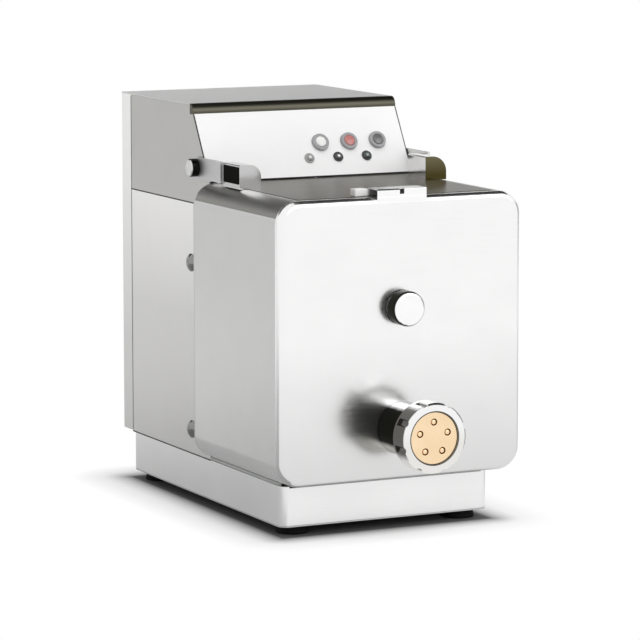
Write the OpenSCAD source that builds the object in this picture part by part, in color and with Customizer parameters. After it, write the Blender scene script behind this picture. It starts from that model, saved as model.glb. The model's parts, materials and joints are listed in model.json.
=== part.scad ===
// Countertop electric pasta maker: a mixing tank with a paddle over an extruding auger,
// driven from the rear by one geared motor. Millimetres, +Z up, floor at z = 0.
// X is the width and Y the depth; the extruder points along -Y.

/* [Base] */
// Width of the base tray and of the column behind the tank
base_w = 300; // [280:1:320]
// Depth of the base tray
base_d = 474; // [465:1:485]
// Height of the base tray with its bottom plate
base_h = 53; // [40:1:60]
// Y of the base tray's front face
base_front = -195; // [-199:1:-190]
// Radius of the tray's vertical corners
base_r = 12; // [6:1:20]
// Height of the rubber feet
foot_h = 12; // [9:1:20]
// Diameter of a rubber foot on the floor
foot_d = 45; // [34:1:50]
// Distance from the tray's sides to a foot's centre
foot_inset = 30; // [28:1:45]
// Thickness of the bent sheet steel
sheet = 1.5; // [1.2:0.1:2]

/* [Column] */
// Y of the column's front face, where the tank is bolted on
column_front = 21; // [16:1:24]
// Height of the joint between column and head
column_top = 402; // [390:1:410]
// Thickness of the front bulkhead that carries tank and gearbox
bulkhead_t = 4; // [3:0.5:6]
// Depth of the rear cover behind the column
cover_d = 36; // [30:1:40]
// Diameter of the domed bolt heads on the body's sides
side_bolt_d = 24; // [18:1:28]
// Number of ventilation slots in each column of the rear cover
vent_count = 9; // [5:1:12]

/* [Head] */
// Height of the top of the machine
head_top = 533; // [525:1:545]
// Height of the lower edge of the sloping control panel
panel_low = 435; // [434:1:440]
// Height of the upright lip over the control panel
lip_h = 13; // [10:1:20]
// Angle of the control panel above the horizontal
slope_a = 59.5; // [55:0.5:63]
// Thickness of the control panel
panel_t = 2; // [1.5:0.5:3]

/* [Controls] */
// X of the first button
button_x = 24; // [10:1:30]
// Distance between buttons
button_pitch = 42.6; // [36:0.2:44]
// Diameter of the hole that a button is fitted in
button_hole = 19; // [16:0.5:22]
// Diameter of a button's cap
button_cap = 15; // [12:0.5:16]
// Travel of a button
button_travel = 4; // [2:0.5:4]
// Diameter of the hole that a pilot lamp is fitted in
lamp_hole = 10; // [8:0.5:11]

/* [Tank] */
// Distance by which the tank stands out beyond each side of the column
tank_over = 23; // [19:1:28]
// Height of the tank's underside
tank_low = 70.5; // [68:0.5:76]
// Height of the tank's top face
tank_top = 433; // [432:0.5:434]
// Y of the tank's front face
tank_front = -237; // [-240:1:-234]
// Radius of the tank's four long edges
tank_r = 30; // [24:1:36]
// Depth of the pan-shaped front plate
pan_d = 12; // [10:1:14]
// Radius of the bend round the front plate
pan_bend = 8; // [5:1:9]

/* [Mixing tub] */
// Height of the mixer's axis
mixer_z = 292; // [288:1:296]
// Distance from the lid's sides in to the tub's inner wall
tub_margin = 13; // [11:1:16]
// Wall of the tub
tub_wall = 2; // [1.5:0.5:3]
// Diameter of the mixer shaft
mixer_shaft_d = 25; // [22:1:28]
// Gap between the mixer paddles and the tub
paddle_gap = 8; // [6:1:14]
// Number of mixer paddles
paddle_count = 6; // [4:1:7]

/* [Extruder] */
// Inner radius of the barrel and of the auger's trough
barrel_r = 27; // [25:0.5:29]
// Wall of the barrel
barrel_wall = 7; // [5:0.5:9]
// Y of the ring nut's front face
nut_front = -327; // [-330:1:-322]
// Length of the ring nut
nut_l = 28; // [26:1:34]
// Outer diameter of the ring nut
nut_d = 90; // [88:1:94]
// Number of grip notches round the ring nut
notch_count = 8; // [6:1:10]
// Diameter of the die's face
die_d = 66; // [60:1:68]
// Number of holes in the die
die_holes = 5; // [3:1:7]
// Length of one turn of the auger's flight
auger_pitch = 46; // [40:1:60]
// Gap between the auger's flight and the barrel
auger_gap = 1; // [0.6:0.2:2]
// Diameter of the mixer knob
knob_d = 45; // [38:1:50]
// Length of the mixer knob
knob_l = 20; // [16:1:24]

/* [Lid] */
// Width of the flat edge of the tank beside the lid
lid_edge = 5; // [3:1:9]
// Y of the lid's front edge
lid_front = -220; // [-223:1:-216]
// Y of the lid's rear edge
lid_back = 17; // [12:1:17]
// Thickness of the lid
lid_t = 8; // [6:0.5:8]
// Y of the lid's hinge axis
pivot_y = 53; // [48:1:58]
// Height of the lid's hinge axis
pivot_z = 451; // [449:1:455]
// Diameter of the hinge bosses
boss_d = 24; // [20:1:26]
// Length of the lid's bracket blocks along the lid's side
block_l = 50; // [40:1:56]
// Height of the lid's bracket blocks
block_h = 31; // [26:1:34]

/* [Drive] */
// Module of the gears
gear_m = 2; // [2:1:2]
// Teeth of the mixer's gear
mixer_teeth = 95; // [95:1:95]
// Teeth of the intermediate gear
wheel_teeth = 54; // [48:2:58]
// Teeth of both pinions
pinion_teeth = 18; // [18:1:18]
// X of the intermediate shaft and of the motor
drive_x = 60; // [50:1:64]
// Width of the two large gears
gear_w = 20; // [16:1:22]
// Diameter of the motor's body
motor_d = 116; // [100:1:120]
// Distance from the motor's cowl to the rear rails
motor_gap = 16; // [10:1:24]

/* [Hidden] */
$fn = 48;

clear = 0.3;        // gap between pieces that move past each other
run = 0.05;         // radial running clearance of shafts and pins
lid_gap = 1.2;      // gap round the lid
steel = "gainsboro";
satin = "silver";
black = [0.1, 0.1, 0.11];

// Base and column
base_low = foot_h;
base_top = foot_h + base_h;
base_back = base_front + base_d;
column_back = base_back - 1;
half = base_w / 2;
inner = half - sheet;
rim_w = 12;         // width of the turned-in edges of the panels
foot_x = half - foot_inset;
foot_ys = [base_front + foot_inset, base_back - foot_inset];
foot_screw_d = 6;
foot_recess_d = 15;
foot_recess_h = 5;
weld_nut_h = 6;
cover_back = column_back + cover_d;
cover_low = base_top + 1;
bulkhead_top = panel_low - 2 * panel_t;
return_l = 84;      // length of the bulkhead's side flanges
return_t = 3;
side_bolt_y = column_front + 59;
side_bolt_zs = [base_top + 33, column_top - 80];
side_bolt_shank = 8;
side_bolt_h = 6;
side_nut_l = 10;

// Sloping panel: its height, its length and the Y of its upper edge
panel_high = head_top - lip_h;
lip_r = lip_h - 2;
slope_l = (panel_high - panel_low) / sin(slope_a);
lip_y = column_front + (panel_high - panel_low) / tan(slope_a);
button_rise = 0.497 * slope_l;
lamp_rise = 0.274 * slope_l;
button_xs = [for (i = [0:2]) button_x + i * button_pitch];
lamp_xs = [for (x = button_xs) x - button_pitch / 2];
bezel_d = button_hole + 6;
bezel_h = 4;
barrel_in = 24;     // depth of a button's body behind the panel
cap_h = 5.5;        // height of a button's cap above the panel
lamp_bezel_d = lamp_hole + 4;
lamp_body_d = lamp_hole - 3;
lamp_in = 14;       // depth of a pilot lamp behind the panel
lamp_rim = 1.5;
lens_h = 2.5;

// Axes of the drive
auger_teeth = 60;
auger_z = mixer_z - gear_m * (mixer_teeth + auger_teeth) / 2;
step_1 = gear_m * (auger_teeth + pinion_teeth) / 2;
step_2 = gear_m * (wheel_teeth + pinion_teeth) / 2;
inter_z = auger_z + sqrt(step_1 * step_1 - drive_x * drive_x);
motor_z = inter_z + step_2;

// Rounded rectangle about the origin
module rounded_rect(w, h, r) {
    square([w - 2 * r, h], center = true);
    square([w, h - 2 * r], center = true);
    for (sx = [-1, 1], sy = [-1, 1])
        translate([sx * (w / 2 - r), sy * (h / 2 - r)]) circle(r);
}

// An XZ outline drawn from y0 back to y1
module along_y(y0, y1) {
    translate([0, y1, 0]) rotate([90, 0, 0]) linear_extrude(y1 - y0) children();
}

// A YZ outline drawn from x0 to x1
module along_x(x0, x1) {
    translate([x0, 0, 0]) rotate([90, 0, 90]) linear_extrude(x1 - x0) children();
}

// Round bar along Y, from y0 to y1
module rod_y(d, y0, y1, x = 0, z = 0) {
    translate([x, y1, z]) rotate([90, 0, 0]) cylinder(d = d, h = y1 - y0);
}

// Round bar along X, from x0 to x1
module rod_x(d, x0, x1, y, z) {
    translate([x0, y, z]) rotate([0, 90, 0]) cylinder(d = d, h = x1 - x0);
}

// Box between two corners
module box(a, b) {
    translate(a) cube(b - a);
}

// Places things on the sloping panel: Y up the slope, Z out of it
module on_panel(x, rise) {
    translate([x, column_front + rise * cos(slope_a), panel_low + rise * sin(slope_a)])
        rotate([slope_a, 0, 0]) children();
}

// Shallow dome of diameter d and height h, on Z = 0
module dome(d, h) {
    r = (d * d / 4 + h * h) / (2 * h);
    intersection() {
        translate([0, 0, h - r]) sphere(r, $fn = 64);
        cylinder(d = d, h = h);
    }
}

// ---- Base ----

module base_tray() {
    wire_hole_d = 40;
    color(steel) difference() {
        translate([0, base_front + base_d / 2, base_low + sheet])
            linear_extrude(base_h - sheet) rounded_rect(base_w, base_d, base_r);
        translate([0, base_front + base_d / 2, base_low])
            linear_extrude(base_h - sheet)
                rounded_rect(base_w - 2 * sheet, base_d - 2 * sheet, base_r - sheet);
        // hole for the wires under the column
        translate([0, column_back - 1.5 * wire_hole_d, base_low])
            cylinder(d = wire_hole_d, h = 2 * base_h);
    }
}

module bottom_plate() {
    slot_w = 5;
    slot_l = 90;
    color(satin) difference() {
        union() {
            translate([0, base_front + base_d / 2, base_low])
                linear_extrude(sheet) rounded_rect(base_w, base_d, base_r);
            for (x = [-foot_x, foot_x], y = foot_ys)
                translate([x, y, base_low]) cylinder(d = 2 * foot_screw_d, h = sheet + weld_nut_h);
        }
        for (x = [-foot_x, foot_x], y = foot_ys)
            translate([x, y, 0]) cylinder(d = foot_screw_d + 2 * run, h = base_top);
        // ventilation slots
        for (i = [-3:3])
            translate([-slot_l / 2, column_back - 1.45 * slot_l + i * 3 * slot_w, 0])
                cube([slot_l, slot_w, base_top]);
    }
}

module rubber_feet() {
    flare = 3;
    edge = 1.5;
    color(black)
    for (x = [-foot_x, foot_x], y = foot_ys) translate([x, y, 0]) difference() {
        rotate_extrude(convexity = 4) polygon([
            [0, 0], [foot_d / 2 - edge, 0], [foot_d / 2, edge],
            [foot_d / 2 - flare, foot_h], [0, foot_h]
        ]);
        translate([0, 0, -1]) cylinder(d = foot_recess_d, h = foot_recess_h + 1);
        cylinder(d = foot_screw_d + 2 * run, h = foot_h + 1);
    }
}

module foot_screws() {
    head_h = 3;
    color(satin)
    for (x = [-foot_x, foot_x], y = foot_ys) translate([x, y, foot_recess_h]) {
        translate([0, 0, -head_h]) cylinder(d = 2 * foot_screw_d, h = head_h);
        cylinder(d = foot_screw_d, h = foot_h - foot_recess_h + sheet + weld_nut_h + 2);
    }
}

// ---- Column ----

module front_bulkhead() {
    color(satin) difference() {
        union() {
            box([-inner, column_front, base_top], [inner, column_front + bulkhead_t, bulkhead_top]);
            for (s = [-1, 1]) {
                x = s * (inner - return_t / 2);
                box([x - return_t / 2, column_front, base_top],
                    [x + return_t / 2, column_front + return_l, column_top]);
                // welded nuts for the side bolts
                for (z = side_bolt_zs)
                    rod_x(2 * side_bolt_shank, min(s * inner, s * (inner - side_nut_l)),
                          max(s * inner, s * (inner - side_nut_l)), side_bolt_y, z);
            }
        }
        for (z = side_bolt_zs) rod_x(side_bolt_shank + 2 * run, -base_w, base_w, side_bolt_y, z);
        for (z = [mixer_z, auger_z]) rod_y(seal_d, column_front - 1, box_front + 1, 0, z);
        tank_bolt_spots() rod_y(tank_bolt_d + 2 * run, column_front - 1, box_front + 1);
        housing_bolt_spots() rod_y(housing_bolt_d + 2 * run, column_front - 1, box_front + 1);
    }
}

// Side panel on the side s of the column
module side_panel(s) {
    x = s * (half - sheet / 2);
    lip = s * (half - rim_w / 2);
    color(steel) difference() {
        union() {
            box([x - sheet / 2, column_front, base_top], [x + sheet / 2, column_back, column_top]);
            box([lip - rim_w / 2, column_back - sheet, base_top],
                [lip + rim_w / 2, column_back, column_top]);
            box([lip - rim_w / 2, column_front + return_l + 1, base_top],
                [lip + rim_w / 2, column_back, base_top + sheet]);
        }
        for (z = side_bolt_zs) rod_x(side_bolt_shank + 2 * run, -base_w, base_w, side_bolt_y, z);
    }
}

module side_panel_left() { side_panel(-1); }

module side_panel_right() { side_panel(1); }

module side_bolts() {
    rim = 1;
    color("whitesmoke")
    for (s = [-1, 1], z = side_bolt_zs)
        translate([s * half, side_bolt_y, z]) rotate([0, s * 90, 0]) {
            translate([0, 0, rim]) dome(side_bolt_d, side_bolt_h - rim);
            cylinder(d = side_bolt_d, h = rim);
            translate([0, 0, -side_nut_l - 4]) cylinder(d = side_bolt_shank, h = side_nut_l + 4);
        }
}

// Quarter circle between the brow's upright part and the top; inset makes its hollow
module brow_section(inset) {
    intersection() {
        translate([lip_y + lip_r, head_top - lip_r]) circle(lip_r - inset);
        translate([lip_y, head_top - lip_r]) square(lip_r);
    }
}

module head_shell() {
    pin_hole = hinge_pin_d + 2 * run;
    color(steel) difference() {
        union() {
            for (s = [-1, 1]) {
                x = s * (half - sheet / 2);
                along_x(x - sheet / 2, x + sheet / 2) {
                    polygon([
                        [column_front, column_top], [column_front, panel_low],
                        [lip_y, panel_high], [lip_y, head_top - lip_r],
                        [lip_y + lip_r, head_top - lip_r], [lip_y + lip_r, head_top - sheet],
                        [column_back, head_top - sheet], [column_back, column_top]
                    ]);
                    brow_section(0);
                }
                lip = s * (half - rim_w / 2);
                box([lip - rim_w / 2, column_back - sheet, column_top],
                    [lip + rim_w / 2, column_back, head_top - sheet]);
                box([lip - rim_w / 2, lip_y + lip_r / 2, head_top - 2 * sheet],
                    [lip + rim_w / 2, column_back, head_top - sheet]);
            }
            // rounded brow over the control panel
            box([-half, lip_y, panel_high], [half, lip_y + sheet, head_top - lip_r]);
            along_x(-half, half) difference() {
                brow_section(0);
                brow_section(sheet);
            }
            // studs for the control board
            for (y = board_ys, z = board_zs)
                rod_x(2 * board_hole_d, -inner, -inner + stud_l, y, z);
            // bosses inside the hinge pins' holes
            for (s = [-1, 1])
                rod_x(boss_d, min(s * inner, s * (inner - pin_boss_l)),
                      max(s * inner, s * (inner - pin_boss_l)), pivot_y, pivot_z);
        }
        rod_x(pin_hole, -base_w, base_w, pivot_y, pivot_z);
    }
}

module top_cover() {
    color(steel)
    difference() {
        box([-half, lip_y + lip_r, head_top - sheet], [half, cover_back, head_top]);
        // rounded rear corners
        for (s = [-1, 1]) translate([s * half, cover_back, 0]) difference() {
            cube([2 * corner_r, 2 * corner_r, 3 * head_top], center = true);
            translate([-s * corner_r, -corner_r, 0]) cylinder(r = corner_r, h = 2 * head_top);
        }
    }
}

module control_panel() {
    color("white") difference() {
        on_panel(0, 0) translate([-inner, 0, -panel_t]) cube([2 * inner, slope_l, panel_t]);
        for (x = button_xs)
            on_panel(x, button_rise) translate([0, 0, -5 * panel_t])
                cylinder(d = button_hole, h = 10 * panel_t);
        for (x = lamp_xs)
            on_panel(x, lamp_rise) translate([0, 0, -5 * panel_t])
                cylinder(d = lamp_hole, h = 10 * panel_t);
    }
}

corner_r = 6;
vent_l = 90;
vent_h = 5;
rail_zs = [base_top + 25, (base_top + head_top) / 2 + 1, head_top - 33];
vent_low = rail_zs[1] + 50;     // height of the lowest ventilation slot
vent_pitch = (rail_zs[2] - 33 - vent_h - vent_low) / (vent_count - 1);
rail_h = 18;
rail_wall = 2;
cover_screw_x = 120;
cover_screw_d = 4;
gland_x = 50 - half;
gland_z = 140;
gland_d = 20;
gland_bore = 9;

module rear_cover() {
    top = head_top - sheet;
    color(steel) difference() {
        translate([0, 0, cover_low]) linear_extrude(top - cover_low) difference() {
            union() {
                translate([-half, column_back]) square([base_w, cover_d - corner_r]);
                translate([-half + corner_r, column_back])
                    square([base_w - 2 * corner_r, cover_d]);
                for (s = [-1, 1])
                    translate([s * (half - corner_r), cover_back - corner_r]) circle(corner_r);
            }
            translate([-inner, column_back - 1]) square([2 * inner, cover_d - sheet + 1]);
        }
        // ventilation slots
        for (i = [0:vent_count - 1], s = [-1, 1])
            box([s * half / 2 - vent_l / 2, cover_back - 2 * sheet, vent_low + i * vent_pitch],
                [s * half / 2 + vent_l / 2, cover_back + 1, vent_low + i * vent_pitch + vent_h]);
        for (x = [-cover_screw_x, cover_screw_x], z = rail_zs)
            rod_y(cover_screw_d + 2 * run, column_back, cover_back + 1, x, z);
        rod_y(gland_d + 2 * run, column_back, cover_back + 1, gland_x, gland_z);
    }
}

module rear_rails() {
    color(satin)
    for (z = rail_zs) difference() {
        box([-inner, column_back, z - rail_h / 2], [inner, cover_back - sheet, z + rail_h / 2]);
        box([-base_w, column_back + rail_wall, z - rail_h / 2 + rail_wall],
            [base_w, cover_back - sheet - rail_wall, z + rail_h / 2 - rail_wall]);
        for (x = [-cover_screw_x, cover_screw_x])
            rod_y(cover_screw_d + 2 * run, column_back + cover_d / 2, cover_back, x, z);
    }
}

module rear_cover_screws() {
    head_h = 2.5;
    color(satin)
    for (x = [-cover_screw_x, cover_screw_x], z = rail_zs) {
        rod_y(cover_screw_d, cover_back - sheet - 4 * rail_wall, cover_back, x, z);
        rod_y(2 * cover_screw_d, cover_back, cover_back + head_h, x, z);
    }
}

module cable_gland() {
    flange_l = 4;
    dome_l = 9;
    taper = 5;
    lock_nut_l = 5;
    color(black) difference() {
        union() {
            rod_y(gland_d, cover_back - sheet - 2 * lock_nut_l + 1, cover_back, gland_x, gland_z);
            rod_y(1.4 * gland_d, cover_back, cover_back + flange_l, gland_x, gland_z);
            translate([gland_x, cover_back + flange_l, gland_z]) rotate([-90, 0, 0])
                rotate_extrude() polygon([
                    [0, 0], [0.6 * gland_d, 0], [0.6 * gland_d, dome_l - taper],
                    [0.6 * gland_d - taper, dome_l], [0, dome_l]
                ]);
            translate([gland_x, cover_back - sheet, gland_z]) rotate([90, 0, 0])
                cylinder(d = 1.4 * gland_d, h = lock_nut_l, $fn = 6);
        }
        rod_y(gland_bore, column_back, cover_back + 2 * dome_l, gland_x, gland_z);
    }
}

// ---- Controls ----

module button_bezels() {
    lock_nut_l = 4;
    color([0.3, 0.3, 0.31])
    for (x = button_xs) on_panel(x, button_rise) difference() {
        union() {
            cylinder(d1 = bezel_d, d2 = bezel_d - 2, h = bezel_h);
            translate([0, 0, -barrel_in])
                cylinder(d = button_hole - 2 * run, h = barrel_in);
            translate([0, 0, -panel_t - lock_nut_l]) cylinder(d = bezel_d, h = lock_nut_l, $fn = 6);
        }
        translate([0, 0, -barrel_in - 1])
            cylinder(d = button_cap + 2 * clear, h = barrel_in + bezel_h + 2);
    }
}

module contact_blocks() {
    block = [22, 20, 18];
    color(black)
    for (x = button_xs) on_panel(x, button_rise)
        translate([-block.x / 2, -block.y / 2, -barrel_in - block.z]) cube(block);
}

// A button's cap with its plunger: its underside stops on the contact block
module button() {
    stem_d = 8;
    crown = 1.5;
    guide_l = 6;
    cylinder(d = button_cap, h = cap_h - crown);
    translate([0, 0, cap_h - crown]) dome(button_cap, crown);
    translate([0, 0, -guide_l]) cylinder(d = button_cap, h = guide_l);
    translate([0, 0, -barrel_in + button_travel + clear])
        cylinder(d = stem_d, h = barrel_in - button_travel - clear);
}

module start_button() { color("white") on_panel(button_xs[0], button_rise) button(); }

module stop_button() { color("indianred") on_panel(button_xs[1], button_rise) button(); }

module extrude_button() { color("dimgray") on_panel(button_xs[2], button_rise) button(); }

module pilot_lamps() {
    color("darkslategray")
    for (x = lamp_xs) on_panel(x, lamp_rise) {
        translate([0, 0, lamp_rim]) dome(lamp_hole - 2 * run, lens_h);
        translate([0, 0, -lamp_in]) cylinder(d = lamp_body_d, h = lamp_in + lamp_rim);
    }
}

module pilot_bezels() {
    lock_nut_l = 3;
    thread_l = lamp_in - 4;
    color(black)
    for (x = lamp_xs) on_panel(x, lamp_rise) difference() {
        union() {
            cylinder(d = lamp_bezel_d, h = lamp_rim);
            translate([0, 0, -thread_l]) cylinder(d = lamp_hole - 2 * run, h = thread_l);
            translate([0, 0, -panel_t - lock_nut_l])
                cylinder(d = lamp_bezel_d, h = lock_nut_l, $fn = 6);
        }
        translate([0, 0, -lamp_in]) cylinder(d = lamp_body_d + 2 * run, h = 2 * lamp_in);
    }
}

stud_l = 10;
board_hole_d = 3;
board_l = 100;
board_back = column_back - 48;
board_ys = [board_back - board_l, board_back];
board_zs = [column_top + 23, head_top - 38];

// Circuit board with a row of relays, held by studs on the head's left side
module control_board() {
    t = 1.6;
    edge = 8;
    relay = [18, 16, 28];
    relay_pitch = 30;
    color("darkgreen") difference() {
        union() {
            box([-inner + stud_l, board_ys[0] - edge, board_zs[0] - edge],
                [-inner + stud_l + t, board_ys[1] + edge, board_zs[1] + edge]);
            for (i = [0:2])
                translate([-inner + stud_l + t, board_ys[0] + edge + i * relay_pitch,
                           (board_zs[0] + board_zs[1] - relay.z) / 2]) cube(relay);
        }
        for (y = board_ys, z = board_zs)
            rod_x(board_hole_d, -half, half, y, z);
    }
}

cap_d = 40;
cap_len = 90;
strap_gap = 3;      // from the capacitor to the side panel

module start_capacitor() {
    x = inner - cap_d / 2 - strap_gap;
    y = column_back - 2.2 * cap_d;
    low = base_top + sheet;
    terminal = [12, 8];
    strap_t = 2;
    strap_h = 16;
    strap_low = low + 0.45 * cap_len;
    ear_l = 0.75 * cap_d;
    color("gray") {
        translate([x, y, low]) cylinder(d = cap_d, h = cap_len);
        translate([x, y, low + cap_len]) cylinder(d = terminal[0], h = terminal[1]);
        // clamp ring with a bent foot on the side panel
        translate([x, y, strap_low]) cylinder(d = cap_d + 2 * strap_t, h = strap_h);
        box([inner - strap_t, y - ear_l, strap_low], [inner, y + ear_l, strap_low + strap_h]);
    }
}

// ---- Tank ----

tank_w = base_w + 2 * tank_over;
lid_half = tank_w / 2 - tank_r - lid_edge;
tub_r = lid_half - tub_margin;
paddle_reach = tub_r - paddle_gap;
tank_mid = (tank_low + tank_top) / 2;
tank_h = tank_top - tank_low;
pan_back = tank_front + pan_d;
rear_plate_t = 2;
shell_back = column_front - rear_plate_t;
lid_low = tank_top + 0.4 - lid_t;
rim_t = 1.5;
rim_out = lid_half + lid_edge;
rim_front = lid_front - 6;
rim_top = lid_low - 0.4;
tub_front = tank_front + 15;
tub_back = shell_back;
neck_w = 2 * barrel_r;
seal_d = mixer_shaft_d + 15;
tank_bolt_d = 6;
bush_d = 28;
stud_d = 14;

// Places things at the four bolts that hold the tank to the bulkhead
module tank_bolt_spots() {
    for (s = [-1, 1], z = [tank_low + 2 * tank_r, tank_top - 2 * tank_r])
        translate([s * (inner - 2 * tank_bolt_d), 0, z]) children();
}

module tank_shell() {
    color(steel) difference() {
        translate([0, 0, tank_mid]) along_y(pan_back, shell_back) difference() {
            rounded_rect(tank_w, tank_h, tank_r);
            rounded_rect(tank_w - 2 * sheet, tank_h - 2 * sheet, tank_r - sheet);
        }
        // opening for the lid
        box([-lid_half - lid_gap, lid_front - lid_gap, tank_top - 2 * sheet],
            [lid_half + lid_gap, lid_back + lid_gap, tank_top + 1]);
    }
}

// Section of a plate with both front edges rounded
module edge_section(w, depth, bend) {
    intersection() {
        union() {
            square([w, 2 * (depth - bend)], center = true);
            square([w - 2 * bend, 2 * depth], center = true);
            for (s = [-1, 1]) translate([s * (w / 2 - bend), depth - bend]) circle(bend);
        }
        translate([-w, 0]) square([2 * w, depth]);
    }
}

// Pan with round corners and its edge bent back; inset makes its hollow
module pan_form(inset) {
    w = tank_w - 2 * inset;
    h = tank_h - 2 * inset;
    r = tank_r - inset;
    bend = pan_bend - inset;
    depth = pan_d - inset;
    translate([0, pan_back, tank_mid]) rotate([90, 0, 0]) {
        translate([r - w / 2, 0, 0]) rotate([90, 0, 90])
            linear_extrude(w - 2 * r) edge_section(h, depth, bend);
        translate([0, h / 2 - r, 0]) rotate([90, 0, 0])
            linear_extrude(h - 2 * r) edge_section(w, depth, bend);
        for (sx = [-1, 1], sz = [-1, 1])
            translate([sx * (w / 2 - r), sz * (h / 2 - r), 0]) rotate_extrude() intersection() {
                edge_section(2 * r, depth, bend);
                square(2 * r);
            }
    }
}

module front_plate() {
    color("whitesmoke") difference() {
        pan_form(0);
        pan_form(sheet);
        rod_y(bush_d + 2 * run, tank_front - 1, pan_back, 0, mixer_z);
        rod_y(2 * (barrel_r + barrel_wall) + 2 * run, tank_front - 1, pan_back, 0, auger_z);
    }
}

module tank_rear_plate() {
    color(satin) difference() {
        translate([0, 0, tank_mid]) along_y(shell_back, column_front)
            rounded_rect(tank_w, tank_h, tank_r);
        for (z = [mixer_z, auger_z]) rod_y(seal_d, shell_back - 1, column_front + 1, 0, z);
        tank_bolt_spots() rod_y(tank_bolt_d + 2 * run, shell_back - 1, column_front + 1);
    }
}

// Bolts from the tank to the bulkhead, and the barrel's studs with their nuts
module tank_bolts() {
    head_h = 5;
    nut_h = 4;
    past = box_front + 2;
    color(satin) {
        tank_bolt_spots() {
            rod_y(tank_bolt_d, shell_back - 1, past + head_h);
            translate([0, shell_back, 0]) rotate([90, 0, 0])
                cylinder(d = 2 * tank_bolt_d, h = head_h, $fn = 6);
            translate([0, box_front + head_h, 0]) rotate([90, 0, 0])
                cylinder(d = 2 * tank_bolt_d, h = head_h, $fn = 6);
        }
        barrel_stud_spots() {
            rod_y(barrel_stud_d, tank_front + sheet, tub_front - 1);
            translate([0, tank_front + sheet + barrel_flange_l + nut_h, 0]) rotate([90, 0, 0])
                cylinder(d = 1.9 * barrel_stud_d, h = nut_h, $fn = 6);
        }
    }
}

// Section of the tub, grown by g: a U round the mixer over a U round the auger
module tub_section(g, top) {
    intersection() {
        union() {
            translate([0, mixer_z]) circle(tub_r + g, $fn = 96);
            translate([-tub_r - g, mixer_z]) square([2 * (tub_r + g), top - mixer_z]);
            translate([0, auger_z]) circle(barrel_r + g);
            translate([-barrel_r - g, auger_z])
                square([2 * (barrel_r + g), mixer_z - auger_z]);
        }
        translate([-tank_w, 0]) square([2 * tank_w, top]);
    }
}

// Sheet of the tub between x0 and x1, between its end plates
module tub_sheet(x0, x1) {
    along_y(tub_front + tub_wall, tub_back - tub_wall) intersection() {
        difference() {
            tub_section(tub_wall, rim_top - rim_t);
            tub_section(0, rim_top);
        }
        translate([x0, 0]) square([x1 - x0, rim_top]);
    }
}

// Welded from two end plates, two curved sides, a trough and a rim
module mixing_tub() {
    neck = barrel_r + tub_wall;
    color(satin) {
        difference() {
            along_y(tub_front, tub_front + tub_wall) tub_section(tub_wall, rim_top - rim_t);
            rod_y(bush_d + 2 * run, tub_front - 1, bush_back, 0, mixer_z);
            rod_y(2 * barrel_r, tub_front - 1, bush_back, 0, auger_z);
        }
        difference() {
            along_y(tub_back - tub_wall, tub_back) tub_section(tub_wall, rim_top - rim_t);
            for (z = [mixer_z, auger_z])
                rod_y(seal_d, tub_back - tub_wall - 1, tub_back + 1, 0, z);
        }
        tub_sheet(-lid_half, -neck);
        tub_sheet(-neck, neck);
        tub_sheet(neck, lid_half);
        difference() {
            box([-rim_out, rim_front, rim_top - rim_t], [rim_out, tub_back, rim_top]);
            box([-tub_r, tub_front + tub_wall, rim_top - 2 * rim_t],
                [tub_r, tub_back - tub_wall, rim_top + 1]);
        }
    }
}

module rim_gasket() {
    color(black) difference() {
        box([-rim_out, rim_front, rim_top], [rim_out, tub_back, tank_top - sheet]);
        box([-lid_half - lid_gap, lid_front - lid_gap, rim_top - 1],
            [lid_half + lid_gap, lid_back + lid_gap, tank_top]);
    }
}

// ---- Extruder ----

barrel_stud_d = 5;
barrel_flange_l = 6;
barrel_flange_d = 2 * (barrel_r + barrel_wall) + 28;
thread_d = 2 * (barrel_r + barrel_wall) + 10;
thread_front = nut_front + 22;
thread_back = nut_front + nut_l + 10;
die_flange_d = die_d + 9;
die_flange_l = 12;
die_front = nut_front + 2;
die_back = thread_front - clear;
nut_bore = thread_d + 2 * clear;
nut_lip = die_back - die_flange_l - clear;
nut_travel = 12;

// Places things at the studs of the barrel's flange
module barrel_stud_spots() {
    for (a = [45:90:315])
        translate([0, 0, auger_z]) rotate([0, a, 0])
            translate([0, 0, barrel_flange_d / 2 - 7]) children();
}

module extruder_barrel() {
    color("silver") difference() {
        union() {
            rod_y(2 * (barrel_r + barrel_wall), thread_front, tub_front, 0, auger_z);
            rod_y(thread_d, thread_front, thread_back, 0, auger_z);
            rod_y(barrel_flange_d, tank_front + sheet, tank_front + sheet + barrel_flange_l,
                  0, auger_z);
        }
        rod_y(2 * barrel_r, nut_front, tub_front + 1, 0, auger_z);
        barrel_stud_spots() rod_y(barrel_stud_d + 2 * run, thread_back + 1, tub_front);
    }
}

module extrusion_die() {
    hole_d = 9;
    feed_d = 15;        // wider part of each hole, on the auger's side
    face_l = 6;
    ring_r = 0.31 * die_d;
    color([0.93, 0.8, 0.58]) translate([0, 0, auger_z]) difference() {
        union() {
            rod_y(die_d, die_front, die_back);
            rod_y(die_flange_d, die_back - die_flange_l, die_back);
        }
        for (i = [0:die_holes - 1]) rotate([0, i * 360 / die_holes, 0])
            translate([0, 0, ring_r]) {
                rod_y(hole_d, die_front - 1, die_front + face_l);
                rod_y(feed_d, die_front + face_l, die_back + 1);
            }
    }
}

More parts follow.
